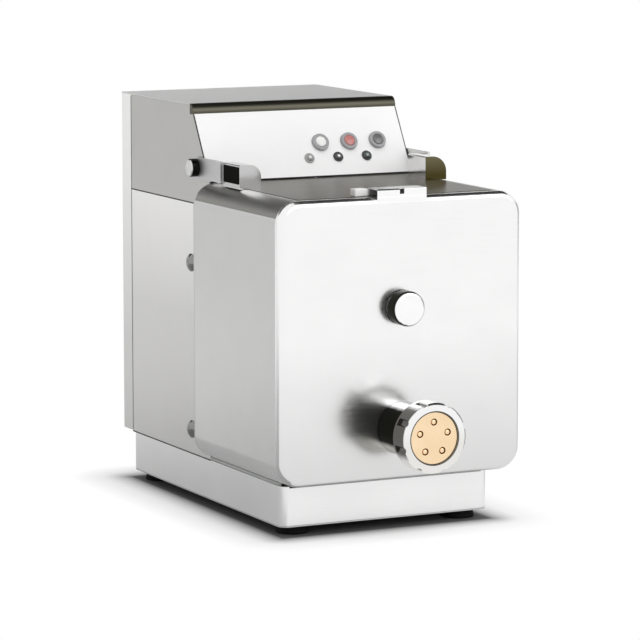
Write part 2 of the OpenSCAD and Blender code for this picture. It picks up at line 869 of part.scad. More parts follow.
module ring_nut() {
    notch_r = 5.5;
    notch_deep = 3;
    first_notch = 28;
    edge = 2.5;
    color("whitesmoke") translate([0, nut_front, auger_z]) difference() {
        rotate([-90, 0, 0]) rotate_extrude(convexity = 4) polygon([
            [die_d / 2 + clear, 0], [die_d / 2 + clear + 1.5, 0], [nut_d / 2 - edge, 0],
            [nut_d / 2, edge], [nut_d / 2, nut_l - 1], [nut_d / 2 - 1, nut_l],
            [nut_bore / 2, nut_l], [nut_bore / 2, nut_lip - nut_front],
            [die_d / 2 + clear, nut_lip - nut_front]
        ]);
        for (i = [0:notch_count - 1]) rotate([0, i * 360 / notch_count + first_notch, 0])
            translate([0, 0, nut_d / 2 + notch_r - notch_deep])
                rod_y(2 * notch_r, -1, nut_l - 2 * edge);
    }
}

bush_inner = stud_d + 2 * clear;
bush_back = tub_front + tub_wall + 2;

module knob_bush() {
    color(satin) difference() {
        union() {
            rod_y(bush_d, tank_front, bush_back, 0, mixer_z);
            rod_y(bush_d + 8, tub_front + tub_wall, bush_back, 0, mixer_z);
        }
        rod_y(bush_inner, tank_front - 1, bush_back + 1, 0, mixer_z);
    }
}

washer_t = 2;
pin_d = 12;
knob_back = tank_front - washer_t - 2 * clear;
mixer_front = bush_back + 4;
pin_in = 18;

module knob_washer() {
    color(satin) difference() {
        rod_y(bush_d + 8, tank_front - clear - washer_t, tank_front - clear, 0, mixer_z);
        rod_y(bush_inner, knob_back, tank_front, 0, mixer_z);
    }
}

module mixer_knob() {
    round_r = 5;
    color("whitesmoke") {
        translate([0, knob_back, mixer_z]) rotate([90, 0, 0]) rotate_extrude(convexity = 4)
            polygon(concat(
                [[0, knob_l], [0, 0], [knob_d / 2 - 1, 0], [knob_d / 2, 1]],
                [for (a = [0:15:90]) [knob_d / 2 - round_r + round_r * cos(a),
                                      knob_l - round_r + round_r * sin(a)]]
            ));
        rod_y(stud_d, knob_back, bush_back + 1, 0, mixer_z);
        rod_y(pin_d, knob_back, mixer_front + pin_in, 0, mixer_z);
    }
}

// ---- Drive ----

auger_shaft_d = 22;
inter_shaft_d = 16;
motor_shaft_d = 14;
box_front = column_front + bulkhead_t;
bearing_w = 12;
gear_gap = 3;
wheel_w = 14;
gear_y = box_front + bearing_w + gear_gap;
wheel_y = gear_y + gear_w + gear_gap;
cover_y = wheel_y + wheel_w + gear_gap;
cover_t = bearing_w + 2;
motor_y = cover_y + cover_t;
shaft_end = cover_y + bearing_w - 0.5;
box_wall = 5;
housing_bolt_d = 8;
pressure = 20;
backlash = 0.12;    // each flank stands back by this much at the pitch circle

function pitch_r(teeth) = gear_m * teeth / 2;
function tip_r(teeth) = pitch_r(teeth) + gear_m;
function box_r(teeth) = tip_r(teeth) + gear_gap + box_wall;
function involute(base, r) = r <= base ? 0 :
    tan(acos(base / r)) * 180 / PI - acos(base / r);
// Angle of a tooth's next gear so that its gap meets the tooth
function mesh(phase, teeth, dir, next) = dir + 180 + ((dir - phase) * teeth / 360 + 0.5) * 360 / next;

mixer_phase = -90;
auger_phase = mesh(mixer_phase, mixer_teeth, -90, auger_teeth);
inter_dir = atan2(inter_z - auger_z, drive_x);
pinion_phase = mesh(auger_phase, auger_teeth, inter_dir, pinion_teeth);
motor_phase = mesh(0, wheel_teeth, 90, pinion_teeth);

// Spur gear outline with involute flanks, a tooth centred on angle phase
module gear_outline(teeth, phase) {
    pitch = pitch_r(teeth);
    base = pitch * cos(pressure);
    root = pitch - 1.25 * gear_m;
    radii = base > root ? [root, base, pitch, pitch + gear_m] : [root, pitch, pitch + gear_m];
    half_tooth = 90 / teeth - backlash / pitch * 180 / PI;
    flank = [for (r = radii) [r, half_tooth + involute(base, pitch) - involute(base, r)]];
    n = len(flank);
    tooth = concat([for (p = flank) [p[0], -p[1]]], [for (i = [n - 1:-1:0]) flank[i]]);
    polygon([for (i = [0:teeth - 1], p = tooth)
        p[0] * [cos(phase + i * 360 / teeth + p[1]), sin(phase + i * 360 / teeth + p[1])]]);
}

// Gear with a hub and, if it is large, a thin web with lightening holes
module gear(teeth, phase, y, w, bore, x, z) {
    hub = bore + 16;
    rim = pitch_r(teeth) - 10;
    web_r = (rim + hub / 2) / 2;
    translate([x, 0, z]) difference() {
        along_y(y, y + w) gear_outline(teeth, phase);
        rod_y(bore + 2 * run, y - 1, y + w + 1);
        if (teeth > 50) {
            for (yy = [y - w * 0.7, y + w * 0.7]) difference() {
                rod_y(2 * rim, yy, yy + w);
                rod_y(hub, yy - 1, yy + w + 1);
            }
            for (a = [30:60:330]) rotate([0, a, 0]) translate([0, 0, web_r])
                rod_y(0.7 * (rim - hub / 2), y - 1, y + w + 1);
        }
    }
}

// Two circles joined by their outer tangents
module link(a, ra, b, rb) {
    d = norm(b - a);
    dir = atan2(b.y - a.y, b.x - a.x);
    off = acos((ra - rb) / d);
    translate(a) circle(ra);
    translate(b) circle(rb);
    polygon([
        a + ra * [cos(dir + off), sin(dir + off)], a + ra * [cos(dir - off), sin(dir - off)],
        b + rb * [cos(dir - off), sin(dir - off)], b + rb * [cos(dir + off), sin(dir + off)]
    ]);
}

// Outline of the gearbox, grown by g from its inner wall
module box_outline(g) {
    mixer = [0, mixer_z];
    auger = [0, auger_z];
    inter = [drive_x, inter_z];
    rm = box_r(mixer_teeth) - box_wall + g;
    ra = box_r(auger_teeth) - box_wall + g;
    ri = box_r(wheel_teeth) - box_wall + g;
    link(mixer, rm, auger, ra);
    link(auger, ra, inter, ri);
    link(inter, ri, mixer, rm);
}

// Places things at the bolts round the gearbox
module housing_bolt_spots() {
    for (spot = [[0, mixer_z, mixer_teeth, 30], [0, mixer_z, mixer_teeth, 150],
                 [0, mixer_z, mixer_teeth, 205], [drive_x, inter_z, wheel_teeth, -30],
                 [0, auger_z, auger_teeth, 225], [0, auger_z, auger_teeth, 315]])
        translate([spot[0] + (box_r(spot[2]) + housing_bolt_d) * cos(spot[3]), 0,
                   spot[1] + (box_r(spot[2]) + housing_bolt_d) * sin(spot[3])]) children();
}

// Shafts carried by ball bearings: x, z, shaft diameter, bearing diameter
shafts = [
    [0, mixer_z, mixer_shaft_d, mixer_shaft_d + 22],
    [0, auger_z, auger_shaft_d, auger_shaft_d + 20],
    [drive_x, inter_z, inter_shaft_d, inter_shaft_d + 19]
];

module gearbox_housing() {
    color("lightslategray") difference() {
        union() {
            along_y(box_front, cover_y) box_outline(box_wall);
            housing_bolt_spots() rod_y(2.2 * housing_bolt_d, box_front, cover_y);
        }
        along_y(box_front + bearing_w, cover_y + 1) box_outline(0);
        for (s = shafts) rod_y(s[3], box_front - 1, box_front + bearing_w + 1, s[0], s[1]);
        housing_bolt_spots() rod_y(housing_bolt_d + 2 * run, box_front - 1, motor_y);
    }
}

spigot_d = 46;
flange_d = motor_d + 24;
flange_t = 8;
motor_screw_d = 6;
screw_in = 10;      // depth of the motor's screws in the gearbox cover
screw_head_h = 4;

// Places things at the screws of the motor's flange
module motor_screw_spots() {
    for (a = [20:120:260]) translate([drive_x, 0, motor_z]) rotate([0, a, 0])
        translate([0, 0, flange_d / 2 - motor_screw_d]) children();
}

module gearbox_cover() {
    color("lightslategray") difference() {
        union() {
            along_y(cover_y, motor_y) {
                box_outline(box_wall);
                translate([drive_x, motor_z]) circle(d = flange_d);
            }
            housing_bolt_spots() rod_y(2.2 * housing_bolt_d, cover_y, motor_y);
        }
        for (s = shafts) rod_y(s[3], cover_y - 1, cover_y + bearing_w, s[0], s[1]);
        rod_y(spigot_d, cover_y - 1, motor_y + 1, drive_x, motor_z);
        housing_bolt_spots() rod_y(housing_bolt_d + 2 * run, cover_y - 1, motor_y + 1);
        motor_screw_spots() rod_y(motor_screw_d + 2 * run, motor_y - screw_in, motor_y + 1);
    }
}

module gearbox_screws() {
    color(satin)
    housing_bolt_spots() {
        rod_y(housing_bolt_d, column_front + 0.5, motor_y);
        translate([0, motor_y + 5, 0]) rotate([90, 0, 0])
            cylinder(d = 1.8 * housing_bolt_d, h = 5, $fn = 6);
    }
}

module shaft_bearings() {
    color("silver")
    for (s = shafts, y = [box_front, cover_y]) difference() {
        rod_y(s[3], y, y + bearing_w, s[0], s[1]);
        rod_y(s[2] + 2 * run, y - 1, y + bearing_w + 1, s[0], s[1]);
        // ring groove between the races
        for (yy = [y - 1, y + bearing_w - 1]) difference() {
            rod_y(s[3] - 6, yy, yy + 2, s[0], s[1]);
            rod_y(s[2] + 6, yy - 1, yy + 3, s[0], s[1]);
        }
    }
}

module shaft_seals() {
    color(black)
    for (s = [shafts[0], shafts[1]]) difference() {
        rod_y(seal_d, tub_back - tub_wall, box_front, s[0], s[1]);
        rod_y(s[2] + 2 * run, tub_back - tub_wall - 1, box_front + 1, s[0], s[1]);
    }
}

module mixer_shaft() {
    color("silver") difference() {
        rod_y(mixer_shaft_d, mixer_front, shaft_end, 0, mixer_z);
        rod_y(pin_d + 2 * run, mixer_front - 1, mixer_front + pin_in + 2, 0, mixer_z);
    }
}

paddle_first = mixer_front + 20;
paddle_last = tub_back - tub_wall - 24;

// Arms to the left and right in turn, each with a slanted paddle at its end
module mixer_paddles() {
    arm_d = 14;
    hub_l = 26;
    paddle_w = 34;
    paddle_t = 5;
    paddle_l = 46;
    color("silver")
    for (i = [0:paddle_count - 1]) {
        y = paddle_first + i * (paddle_last - paddle_first) / (paddle_count - 1);
        s = i % 2 == 0 ? 1 : -1;
        translate([0, y, mixer_z]) rotate([0, s * 90, 0]) difference() {
            union() {
                rotate([90, 0, 0]) translate([0, 0, -hub_l / 2])
                    cylinder(d = mixer_shaft_d + 12, h = hub_l);
                cylinder(d = arm_d, h = paddle_reach - paddle_l / 2);
                rotate([0, 0, 35]) intersection() {
                    translate([-paddle_w / 2, -paddle_t / 2, paddle_reach - paddle_l])
                        cube([paddle_w, paddle_t, paddle_l]);
                    rotate([90, 0, 0]) translate([0, 0, -paddle_t])
                        cylinder(r = paddle_reach, h = 2 * paddle_t, $fn = 96);
                }
            }
            rotate([90, 0, 0]) translate([0, 0, -hub_l])
                cylinder(d = mixer_shaft_d + 2 * run, h = 2 * hub_l);
        }
    }
}

module mixer_gear() {
    color("goldenrod")
        gear(mixer_teeth, mixer_phase, gear_y, gear_w, mixer_shaft_d, 0, mixer_z);
}

auger_end = tub_back - tub_wall - 4;
auger_start = thread_front + 3;

module auger_screw() {
    root_r = 11;
    flight_t = 6;
    turns = (auger_end - auger_start) / auger_pitch;
    color("silver") translate([0, auger_end, auger_z]) rotate([90, 0, 0])
        linear_extrude(auger_end - auger_start, twist = -360 * turns, slices = round(10 * turns),
                       convexity = 8) {
            circle(root_r, $fn = 12);
            translate([0, -flight_t / 2]) square([barrel_r - auger_gap, flight_t]);
        }
}

module auger_shaft() {
    color("silver") rod_y(auger_shaft_d, auger_end, shaft_end, 0, auger_z);
}

module auger_gear() {
    color("goldenrod")
        gear(auger_teeth, auger_phase, gear_y, gear_w, auger_shaft_d, 0, auger_z);
}

// Shaft with its pinion cut on it
module intermediate_shaft() {
    color("silver") {
        rod_y(inter_shaft_d, box_front + 0.5, shaft_end, drive_x, inter_z);
        translate([drive_x, 0, inter_z]) along_y(gear_y, gear_y + gear_w)
            gear_outline(pinion_teeth, pinion_phase);
    }
}

module intermediate_gear() {
    color("goldenrod")
        gear(wheel_teeth, 0, wheel_y, wheel_w, inter_shaft_d, drive_x, inter_z);
}

rib_h = 3;
fan_l = 14;
cowl_l = 30;
motor_back = column_back - motor_gap - cowl_l;
motor_l = motor_back - motor_y - flange_t;
fan_y = motor_back + 5;

module motor_housing() {
    rib_count = 24;
    rib_t = 2.4;
    rib_end = 8;
    color("slategray") translate([drive_x, 0, motor_z]) difference() {
        union() {
            rod_y(spigot_d, cover_y + 4, motor_y);
            rod_y(flange_d, motor_y, motor_y + flange_t);
            rod_y(motor_d - 2 * rib_h, motor_y, motor_back);
            for (i = [0:rib_count - 1]) rotate([0, (i + 0.5) * 360 / rib_count, 0])
                translate([-rib_t / 2, motor_y + flange_t + rib_end, 0])
                    cube([rib_t, motor_l - 2 * rib_end, motor_d / 2]);
        }
        rod_y(motor_shaft_d + 2 * run, cover_y, motor_back + 1);
        translate([-drive_x, 0, -motor_z]) motor_screw_spots()
            rod_y(motor_screw_d + 2 * run, motor_y - 1, motor_y + flange_t + 1);
    }
}

module motor_screws() {
    color(satin)
    motor_screw_spots() {
        rod_y(motor_screw_d, motor_y - screw_in + 1, motor_y + flange_t);
        translate([0, motor_y + flange_t + screw_head_h, 0]) rotate([90, 0, 0])
            cylinder(d = 1.7 * motor_screw_d, h = screw_head_h, $fn = 6);
    }
}

module fan_cowl() {
    wall = 2;
    hole_d = 6;
    cowl_d = motor_d - 2 * rib_h;
    color(black) translate([drive_x, motor_back, motor_z]) difference() {
        rod_y(cowl_d, 0, cowl_l);
        rod_y(cowl_d - 2 * wall, -1, cowl_l - wall);
        // rings of air holes
        for (k = [3, 5, 7], i = [0:11]) rotate([0, (i + k / 4) * 30, 0])
            translate([0, 0, k * hole_d]) rod_y(hole_d, cowl_l - 2 * wall, cowl_l + 1);
    }
}

module motor_shaft() {
    color("silver") translate([drive_x, 0, motor_z]) {
        rod_y(motor_shaft_d, wheel_y + wheel_w, fan_y + fan_l + 1);
        along_y(wheel_y, wheel_y + wheel_w) gear_outline(pinion_teeth, motor_phase);
    }
}

module cooling_fan() {
    fan_r = motor_d / 2 - rib_h - 6;
    hub_d = 30;
    blade_t = 2;
    blade_in = hub_d / 2 - 4;
    blades = 7;
    color("whitesmoke") translate([drive_x, 0, motor_z]) difference() {
        union() {
            rod_y(hub_d, fan_y, fan_y + fan_l);
            for (i = [0:blades - 1]) rotate([0, (i + 0.5) * 360 / blades, 0])
                translate([-blade_t / 2, fan_y + 0.5, blade_in])
                    cube([blade_t, fan_l - 1, fan_r - blade_in]);
        }
        rod_y(motor_shaft_d + 2 * run, fan_y - 1, fan_y + fan_l + 2);
    }
}

// ---- Lid ----

hinge_pin_d = 10;
pin_boss_l = 8;
arm_x = half + 2 * clear;
arm_t = 3.4;
arm_h = boss_d + 4;
block_in = lid_half - 18;
swing = 45;         // from the blocks to the column, so that the lid can swing up
block_y = column_front - swing - block_l;
lid_top = lid_low + lid_t;

module lid_panel() {
    corner = 5;
    color([0.45, 0.42, 0.38, 0.6])
        translate([0, (lid_front + lid_back) / 2, lid_low])
            linear_extrude(lid_t) rounded_rect(2 * lid_half, lid_back - lid_front, corner);
}

// Block on the lid from x0 to x1, its upper right-hand corner rounded by r
module bracket_block(x0, x1, r) {
    edge = 2;
    top = lid_top + block_h;
    along_y(block_y, block_y + block_l) difference() {
        translate([x0, lid_top]) square([x1 - x0, block_h]);
        difference() {
            translate([x1 - r, top - r]) square(2 * r);
            translate([x1 - r, top - r]) circle(r);
        }
        difference() {
            translate([x0 - edge, top - edge]) square(2 * edge);
            translate([x0 + edge, top - edge]) circle(edge);
        }
    }
}

// Arm on the head's right-hand side, with a tongue into the block
module bracket_arm() {
    tongue_t = 7;
    tongue_l = 18;
    y0 = block_y + block_l;
    z0 = pivot_z - arm_h / 2;
    difference() {
        union() {
            along_x(arm_x, arm_x + arm_t) {
                translate([y0 + 1, z0]) square([pivot_y - y0 - 1, arm_h]);
                translate([pivot_y, pivot_z]) circle(d = arm_h);
            }
            box([arm_x - tongue_t, y0 - 1, z0 + 1], [arm_x, y0 + tongue_l, z0 + arm_h - 2]);
        }
        rod_x(hinge_pin_d + 2 * run, arm_x - 1, arm_x + arm_t + 1, pivot_y, pivot_z);
    }
}

module lid_bracket_left() {
    color("silver") {
        mirror([1, 0, 0]) bracket_arm();
        translate([-block_in - arm_x, 0, 0]) bracket_block(block_in, arm_x, block_h / 2);
    }
}

module lid_bracket_right() {
    color("silver") {
        bracket_arm();
        bracket_block(block_in, arm_x, 0.65 * block_h);
    }
}

handle_w = 70;
handle_h = 10;

// Grip bent from a strip, open at both sides and notched in front, with a foot on the lid
module lid_handle() {
    t = 1.5;
    foot_l = 12;
    depth = 26;
    y0 = tank_front;
    y1 = y0 + depth;
    top = lid_top + handle_h;
    notch_w = 6;
    notch_h = 7;
    color("whitesmoke") difference() {
        union() {
            box([-handle_w / 2, y0, top - t], [handle_w / 2, y1, top]);
            box([-handle_w / 2, y0, lid_top + clear], [handle_w / 2, y0 + t, top]);
            box([-handle_w / 2, y1 - t, lid_top], [handle_w / 2, y1, top]);
            box([-handle_w / 2, y1 - t, lid_top], [handle_w / 2, y1 + foot_l, lid_top + t]);
        }
        box([-notch_w / 2, y0 - 1, top - notch_h], [notch_w / 2, y0 + notch_w, top + 1]);
    }
}

// Block on the lid that holds the safety switch's magnet, with a screw hole
module lid_magnet() {
    size = [18, 14, 9.5];
    hole_d = 5;
    gap = 4;
    x = -handle_w / 2 - gap - size.x / 2;
    y = lid_front + 2 + size.y / 2;
    color("white") difference() {
        translate([x - size.x / 2, y - size.y / 2, lid_top]) cube(size);
        translate([x, y, lid_top + size.z - hole_d]) cylinder(d = hole_d, h = hole_d + 1);
    }
}

module hinge_pins() {
    head_in = arm_x + arm_t + clear;
    head_l = 11;
    edge = 2;
    color("whitesmoke")
    for (s = [0, 1]) mirror([s, 0, 0]) {
        rod_x(hinge_pin_d, inner - pin_boss_l, head_in, pivot_y, pivot_z);
        rod_x(boss_d, head_in, head_in + head_l - edge, pivot_y, pivot_z);
        translate([head_in + head_l - edge, pivot_y, pivot_z]) rotate([0, 90, 0])
            cylinder(d1 = boss_d, d2 = boss_d - 2 * edge, h = edge);
    }
}

base_tray();
bottom_plate();
rubber_feet();
foot_screws();
front_bulkhead();
side_panel_left();
side_panel_right();
side_bolts();
head_shell();
top_cover();
control_panel();
rear_cover();
rear_rails();
rear_cover_screws();
button_bezels();
contact_blocks();
pilot_lamps();
pilot_bezels();
control_board();
start_capacitor();
cable_gland();
start_button();
stop_button();
extrude_button();
tank_shell();
front_plate();
tank_rear_plate();
mixing_tub();
rim_gasket();
tank_bolts();
extruder_barrel();
knob_bush();
shaft_seals();
gearbox_housing();
gearbox_cover();
gearbox_screws();
shaft_bearings();
motor_housing();
fan_cowl();
motor_screws();
mixer_shaft();
mixer_paddles();
mixer_gear();
auger_screw();
auger_shaft();
auger_gear();
intermediate_shaft();
intermediate_gear();
motor_shaft();
cooling_fan();
lid_panel();
lid_bracket_left();
lid_bracket_right();
lid_handle();
lid_magnet();
hinge_pins();
knob_washer();
mixer_knob();
extrusion_die();
ring_nut();
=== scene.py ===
# %% [markdown]
# # An electric pasta maker in its finishes
# This lesson dresses a finished mechanical model: a stainless steel mixing tank over an extruder,
# with a sloping control panel behind. The solids come from CAD and stay where they are. What is
# added here is what makes sheet steel, polished steel, bronze, rubber and smoked plastic look real:
# small rounded edges, brushing, bumps and light.
# First comes the frame, from which several later steps read their sizes.

# %% Load the frame
import json
import math

import bmesh
import bpy
from mathutils import Matrix, Vector


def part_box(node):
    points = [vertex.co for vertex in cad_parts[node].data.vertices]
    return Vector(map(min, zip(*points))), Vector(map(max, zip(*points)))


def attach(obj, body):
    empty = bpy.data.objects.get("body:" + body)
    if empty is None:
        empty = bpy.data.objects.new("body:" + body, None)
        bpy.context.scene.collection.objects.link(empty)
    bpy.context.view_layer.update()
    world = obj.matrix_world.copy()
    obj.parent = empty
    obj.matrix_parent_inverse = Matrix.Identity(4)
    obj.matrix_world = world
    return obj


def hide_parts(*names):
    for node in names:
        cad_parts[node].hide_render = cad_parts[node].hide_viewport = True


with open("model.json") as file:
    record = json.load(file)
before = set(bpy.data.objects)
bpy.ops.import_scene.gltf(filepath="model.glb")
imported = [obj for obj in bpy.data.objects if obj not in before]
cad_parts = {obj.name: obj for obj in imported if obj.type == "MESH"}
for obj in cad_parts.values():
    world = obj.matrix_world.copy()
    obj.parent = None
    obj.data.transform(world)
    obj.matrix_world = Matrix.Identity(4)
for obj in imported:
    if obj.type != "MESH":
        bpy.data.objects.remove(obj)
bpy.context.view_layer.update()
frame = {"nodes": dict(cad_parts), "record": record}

scene = bpy.context.scene
bodies = frame["record"]["behaviour"]["bodies"]
body_of_node = {node: body for body, nodes in bodies.items() for node in nodes}

# %% [markdown]
# ## The camera
# A long lens from about four and a half metres keeps the machine's upright edges nearly parallel,
# as product portraits do. The camera looks a little down and from the machine's left, so that the
# front, the left side and the sloping panel all show. Its direction is written as a vector, which
# turns into a rotation with `to_track_quat`.

# %% Camera
MM = 0.001
CAMERA_AT = Vector((-2.0941, -4.2403, 0.9118))
LOOKS_ALONG = Vector((0.4387, 0.8878, -0.1395))
LENS_MM = 202.2
SENSOR_MM = 36

camera = bpy.data.objects.new("camera", bpy.data.cameras.new("camera"))
camera.location = CAMERA_AT
camera.rotation_euler = LOOKS_ALONG.to_track_quat("-Z", "Y").to_euler()
camera.data.lens = LENS_MM
camera.data.sensor_width = SENSOR_MM
scene.collection.objects.link(camera)
scene.camera = camera
print("camera looks along", tuple(LOOKS_ALONG))

# %% [markdown]
# ## A small language for materials
# A procedural material is a graph of nodes, and long graphs are hard to read as code. A small
# class helps: `Value` wraps a socket, and Python's own operators add the Math nodes. So a mask
# reads as the formula it is. Most masks here are a ramp: it turns a distance in metres into a
# share from 0 to 1.

# %% Value: a socket that understands arithmetic
class Value:
    def __init__(self, paint, socket):
        self.paint = paint
        self.socket = socket

    def math(self, operation, *others, clamp=False):
        made = self.paint.node("ShaderNodeMath", {"operation": operation, "use_clamp": clamp},
                               dict(enumerate((self, *others))))
        return Value(self.paint, made.outputs[0])

    def __add__(self, other):
        return self.math("ADD", other)

    __radd__ = __add__

    def __mul__(self, other):
        return self.math("MULTIPLY", other)

    __rmul__ = __mul__

    def __sub__(self, other):
        return self.math("SUBTRACT", other)

    def __rsub__(self, other):
        made = self.paint.node("ShaderNodeMath", {"operation": "SUBTRACT"}, {0: other, 1: self})
        return Value(self.paint, made.outputs[0])

    def __truediv__(self, other):
        return self.math("DIVIDE", other)

    def __pow__(self, other):
        return self.math("POWER", other)

    def ramp(self, low, high):
        """0 below low, 1 above high, and a straight line between."""
        return ((self - low) / (high - low)).math("MULTIPLY", 1.0, clamp=True)

    def wave(self, pitch):
        """From 0 to 1 and back with every pitch: turning marks and rings."""
        return (self * (math.tau / pitch)).math("SINE") * 0.5 + 0.5


print("Value adds Math nodes for + - * / and **")

# %% [markdown]
# ## One material
# `Paint` is one material. Its `node` method makes any node, sets its settings first, and then
# fills its sockets with numbers or links. Patterns read Object coordinates, which are metres in
# the frame, because every piece stands at the origin: a pattern then runs on unbroken from one
# part to the next.

# %% Paint: one material and the nodes it needs
class Paint:
    def __init__(self, name):
        self.material = bpy.data.materials.new(name)
        self.material.use_nodes = True
        self.tree = self.material.node_tree
        self.tree.nodes.clear()
        self.shader = self.node("ShaderNodeBsdfPrincipled")
        output = self.node("ShaderNodeOutputMaterial")
        self.tree.links.new(self.shader.outputs[0], output.inputs[0])
        self.place = self.node("ShaderNodeTexCoord").outputs["Object"]

    def node(self, kind, settings=None, sockets=None):
        made = self.tree.nodes.new(kind)
        for key, value in (settings or {}).items():
            setattr(made, key, value)
        for key, value in (sockets or {}).items():
            self.fill(made.inputs[key], value)
        return made

    def fill(self, socket, value):
        """Links a value or an output to a socket, or sets the socket to a number."""
        if isinstance(value, (Value, bpy.types.NodeSocket)):
            self.tree.links.new(getattr(value, "socket", value), socket)
        else:
            socket.default_value = value

    def set(self, **sockets):
        """Fills the shader's own sockets: underscores in a name stand for spaces."""
        for name, value in sockets.items():
            if isinstance(value, tuple):
                value = (*value, 1)
            self.fill(self.shader.inputs[name.replace("_", " ")], value)
        return self

    def stretched(self, scale):
        """The place on the surface, stretched along each axis."""
        return self.node("ShaderNodeVectorMath", {"operation": "MULTIPLY"},
                         {0: self.place, 1: scale}).outputs[0]

    def noise(self, scale, detail=2.0, rough=0.5, stretch=(1, 1, 1)):
        made = self.node("ShaderNodeTexNoise", {},
                         {"Vector": self.stretched(stretch), "Scale": scale,
                          "Detail": detail, "Roughness": rough})
        return Value(self, made.outputs[0])

    def axis(self, letter):
        """How far along X, Y or Z the surface is, in metres."""
        made = self.node("ShaderNodeSeparateXYZ", {}, {0: self.place})
        return Value(self, made.outputs["XYZ".index(letter)])

    def mix(self, share, low, high):
        """A colour from low to high as share goes from 0 to 1."""
        made = self.node("ShaderNodeMix", {"data_type": "RGBA"}, {0: share})
        for index, colour in ((6, low), (7, high)):
            self.fill(made.inputs[index], (*colour, 1) if isinstance(colour, tuple) else colour)
        return made.outputs[2]

    def bump(self, height, strength, distance):
        made = self.node("ShaderNodeBump", {},
                         {"Height": height, "Strength": strength, "Distance": distance})
        return self.set(Normal=made.outputs[0])

    def keep(self):
        """Stores the material under its own name."""
        finishes[self.material.name] = self.material


finishes = {}
print("Paint makes one material; finishes:", len(finishes))

# %% [markdown]
# ## Brushed sheet steel
# Stainless sheet is brushed along one direction. The brushing shows as fine streaks that spread
# a reflection across the grain. Here one noise, stretched a hundred times along the grain, drives
# the roughness, a little of the colour and a very small bump. A second, wide noise adds the
# slow waviness of hand-polished sheet. The grain direction is a parameter, because upright
# panels are brushed up and down, while the tank is brushed along its length. Two options paint
# light and shade into a sheet's colour by height: a slow change in tone, which is painted shading
# from top to bottom, and a dark stretch at the top, which is a painted dark reflection on the brow
# over the control panel and on the bend along the tank's upper edge.

# %% Sheet steel
ALONG_X, ALONG_Y, ALONG_Z = (8, 600, 600), (600, 8, 600), (600, 600, 8)
GRAIN = 2.4
BORDER = 0.0006


def brushing(paint, along):
    """Fine streaks that run along one axis."""
    return paint.noise(GRAIN, detail=3, rough=0.6, stretch=along)


def scaled(colour, share):
    """The colour, darker or lighter by this share."""
    return tuple(channel * share for channel in colour)


def brushed_steel(name, dark, light, along, rough, metallic=1.0, fall=None, dark_top=None):
    """fall = (low, high, share): painted shading by height, the tone changes from high down to that
    share at low, and a share above 1 paints light instead.
    dark_top = (back, low, colour, upper): a painted dark reflection, in front of back and above low
    the surface is dark, and turns from colour to upper within 16 mm."""
    paint = Paint(name)
    streaks = brushing(paint, along)
    smears = paint.noise(18, detail=2)
    tone = ((streaks - 0.5) * 0.8 + (smears - 0.5) * 0.5 + 0.5).math("MULTIPLY", 1.0, clamp=True)
    colour = paint.mix(tone, dark, light)
    height = paint.axis("Z")
    # Painted shading: the tone changes with height.
    if fall:
        low, high, share = fall
        painted_height_tone = paint.mix(tone, scaled(dark, share), scaled(light, share))
        colour = paint.mix(height.ramp(low, high), painted_height_tone, colour)
    # Painted dark reflection on the top stretch.
    if dark_top:
        back, low, lower, upper = dark_top
        zone = (1.0 - paint.axis("Y").ramp(back, back + BORDER)) * height.ramp(low, low + BORDER)
        colour = paint.mix(zone, colour, paint.mix(height.ramp(low, low + 0.016), lower, upper))
    paint.set(Base_Color=colour, Metallic=metallic,
              Roughness=rough + (streaks - 0.5) * 0.16 + (smears - 0.5) * 0.05)
    paint.bump(streaks * 0.4 + smears * 3, 0.08, 0.0004)
    paint.keep()


# The brow's colour here and the tank's dark top colours are painted dark reflections on bends that
# face up.
PAINTED_BROW_REFLECTION = (0.088, 0.084, 0.064)
# These sheets are one stainless steel; their base tones differ as painted light and shade, so the
# tank's and the head's sheets are darker than the front, top, column, base and cover sheets.
brushed_steel("front sheet", (0.86, 0.86, 0.86), (0.94, 0.94, 0.935), ALONG_X, 0.22,
              fall=(0.07, 0.26, 0.76))
brushed_steel("tank sheet", (0.56, 0.56, 0.555), (0.64, 0.64, 0.635), ALONG_Y, 0.32,
              fall=(0.10, 0.33, 1.22),
              dark_top=(0.5, 0.4115, (0.20, 0.198, 0.185), (0.46, 0.455, 0.43)))
brushed_steel("head sheet", (0.46, 0.455, 0.44), (0.55, 0.545, 0.53), ALONG_Z, 0.36,
              dark_top=(0.0818, 0.5188, PAINTED_BROW_REFLECTION, PAINTED_BROW_REFLECTION))
brushed_steel("top sheet", (0.82, 0.82, 0.81), (0.92, 0.92, 0.91), ALONG_Y, 0.38)
brushed_steel("column sheet", (0.80, 0.795, 0.785), (0.90, 0.895, 0.885), ALONG_Z, 0.34,
              fall=(0.25, 0.40, 0.76))
brushed_steel("base sheet", (0.78, 0.785, 0.78), (0.88, 0.88, 0.875), ALONG_X, 0.34)
brushed_steel("cover sheet", (0.86, 0.86, 0.85), (0.96, 0.96, 0.95), ALONG_Z, 0.34, 0.8,
              fall=(0.20, 0.46, 0.70))
brushed_steel("inner sheet", (0.50, 0.50, 0.50), (0.64, 0.64, 0.64), ALONG_X, 0.36, 0.9)
print("sheet finishes:", sorted(finishes))

# %% [markdown]
# ## Turned and cast metals
# Turned parts such as shafts, gears and the die carry fine rings left by the lathe. The rings
# come from a wave along the turning axis. Cast aluminium has a sand-like skin: a fine noise in
# the bump and in the roughness. Bronze is warm, and its reflections are broken by the same
# turning marks.

# %% Solid metals
MARK_DEPTH = 0.00003


def turned_metal(name, dark, light, rough, pitch):
    """pitch is the distance between two turning marks."""
    paint = Paint(name)
    marks = paint.axis("Y").wave(pitch)
    stains = paint.noise(45, detail=3)
    paint.set(Base_Color=paint.mix(stains, dark, light), Metallic=1.0,
              Roughness=rough + marks * 0.03 + (stains - 0.5) * 0.10)
    paint.bump(marks, 0.12, MARK_DEPTH)
    paint.keep()


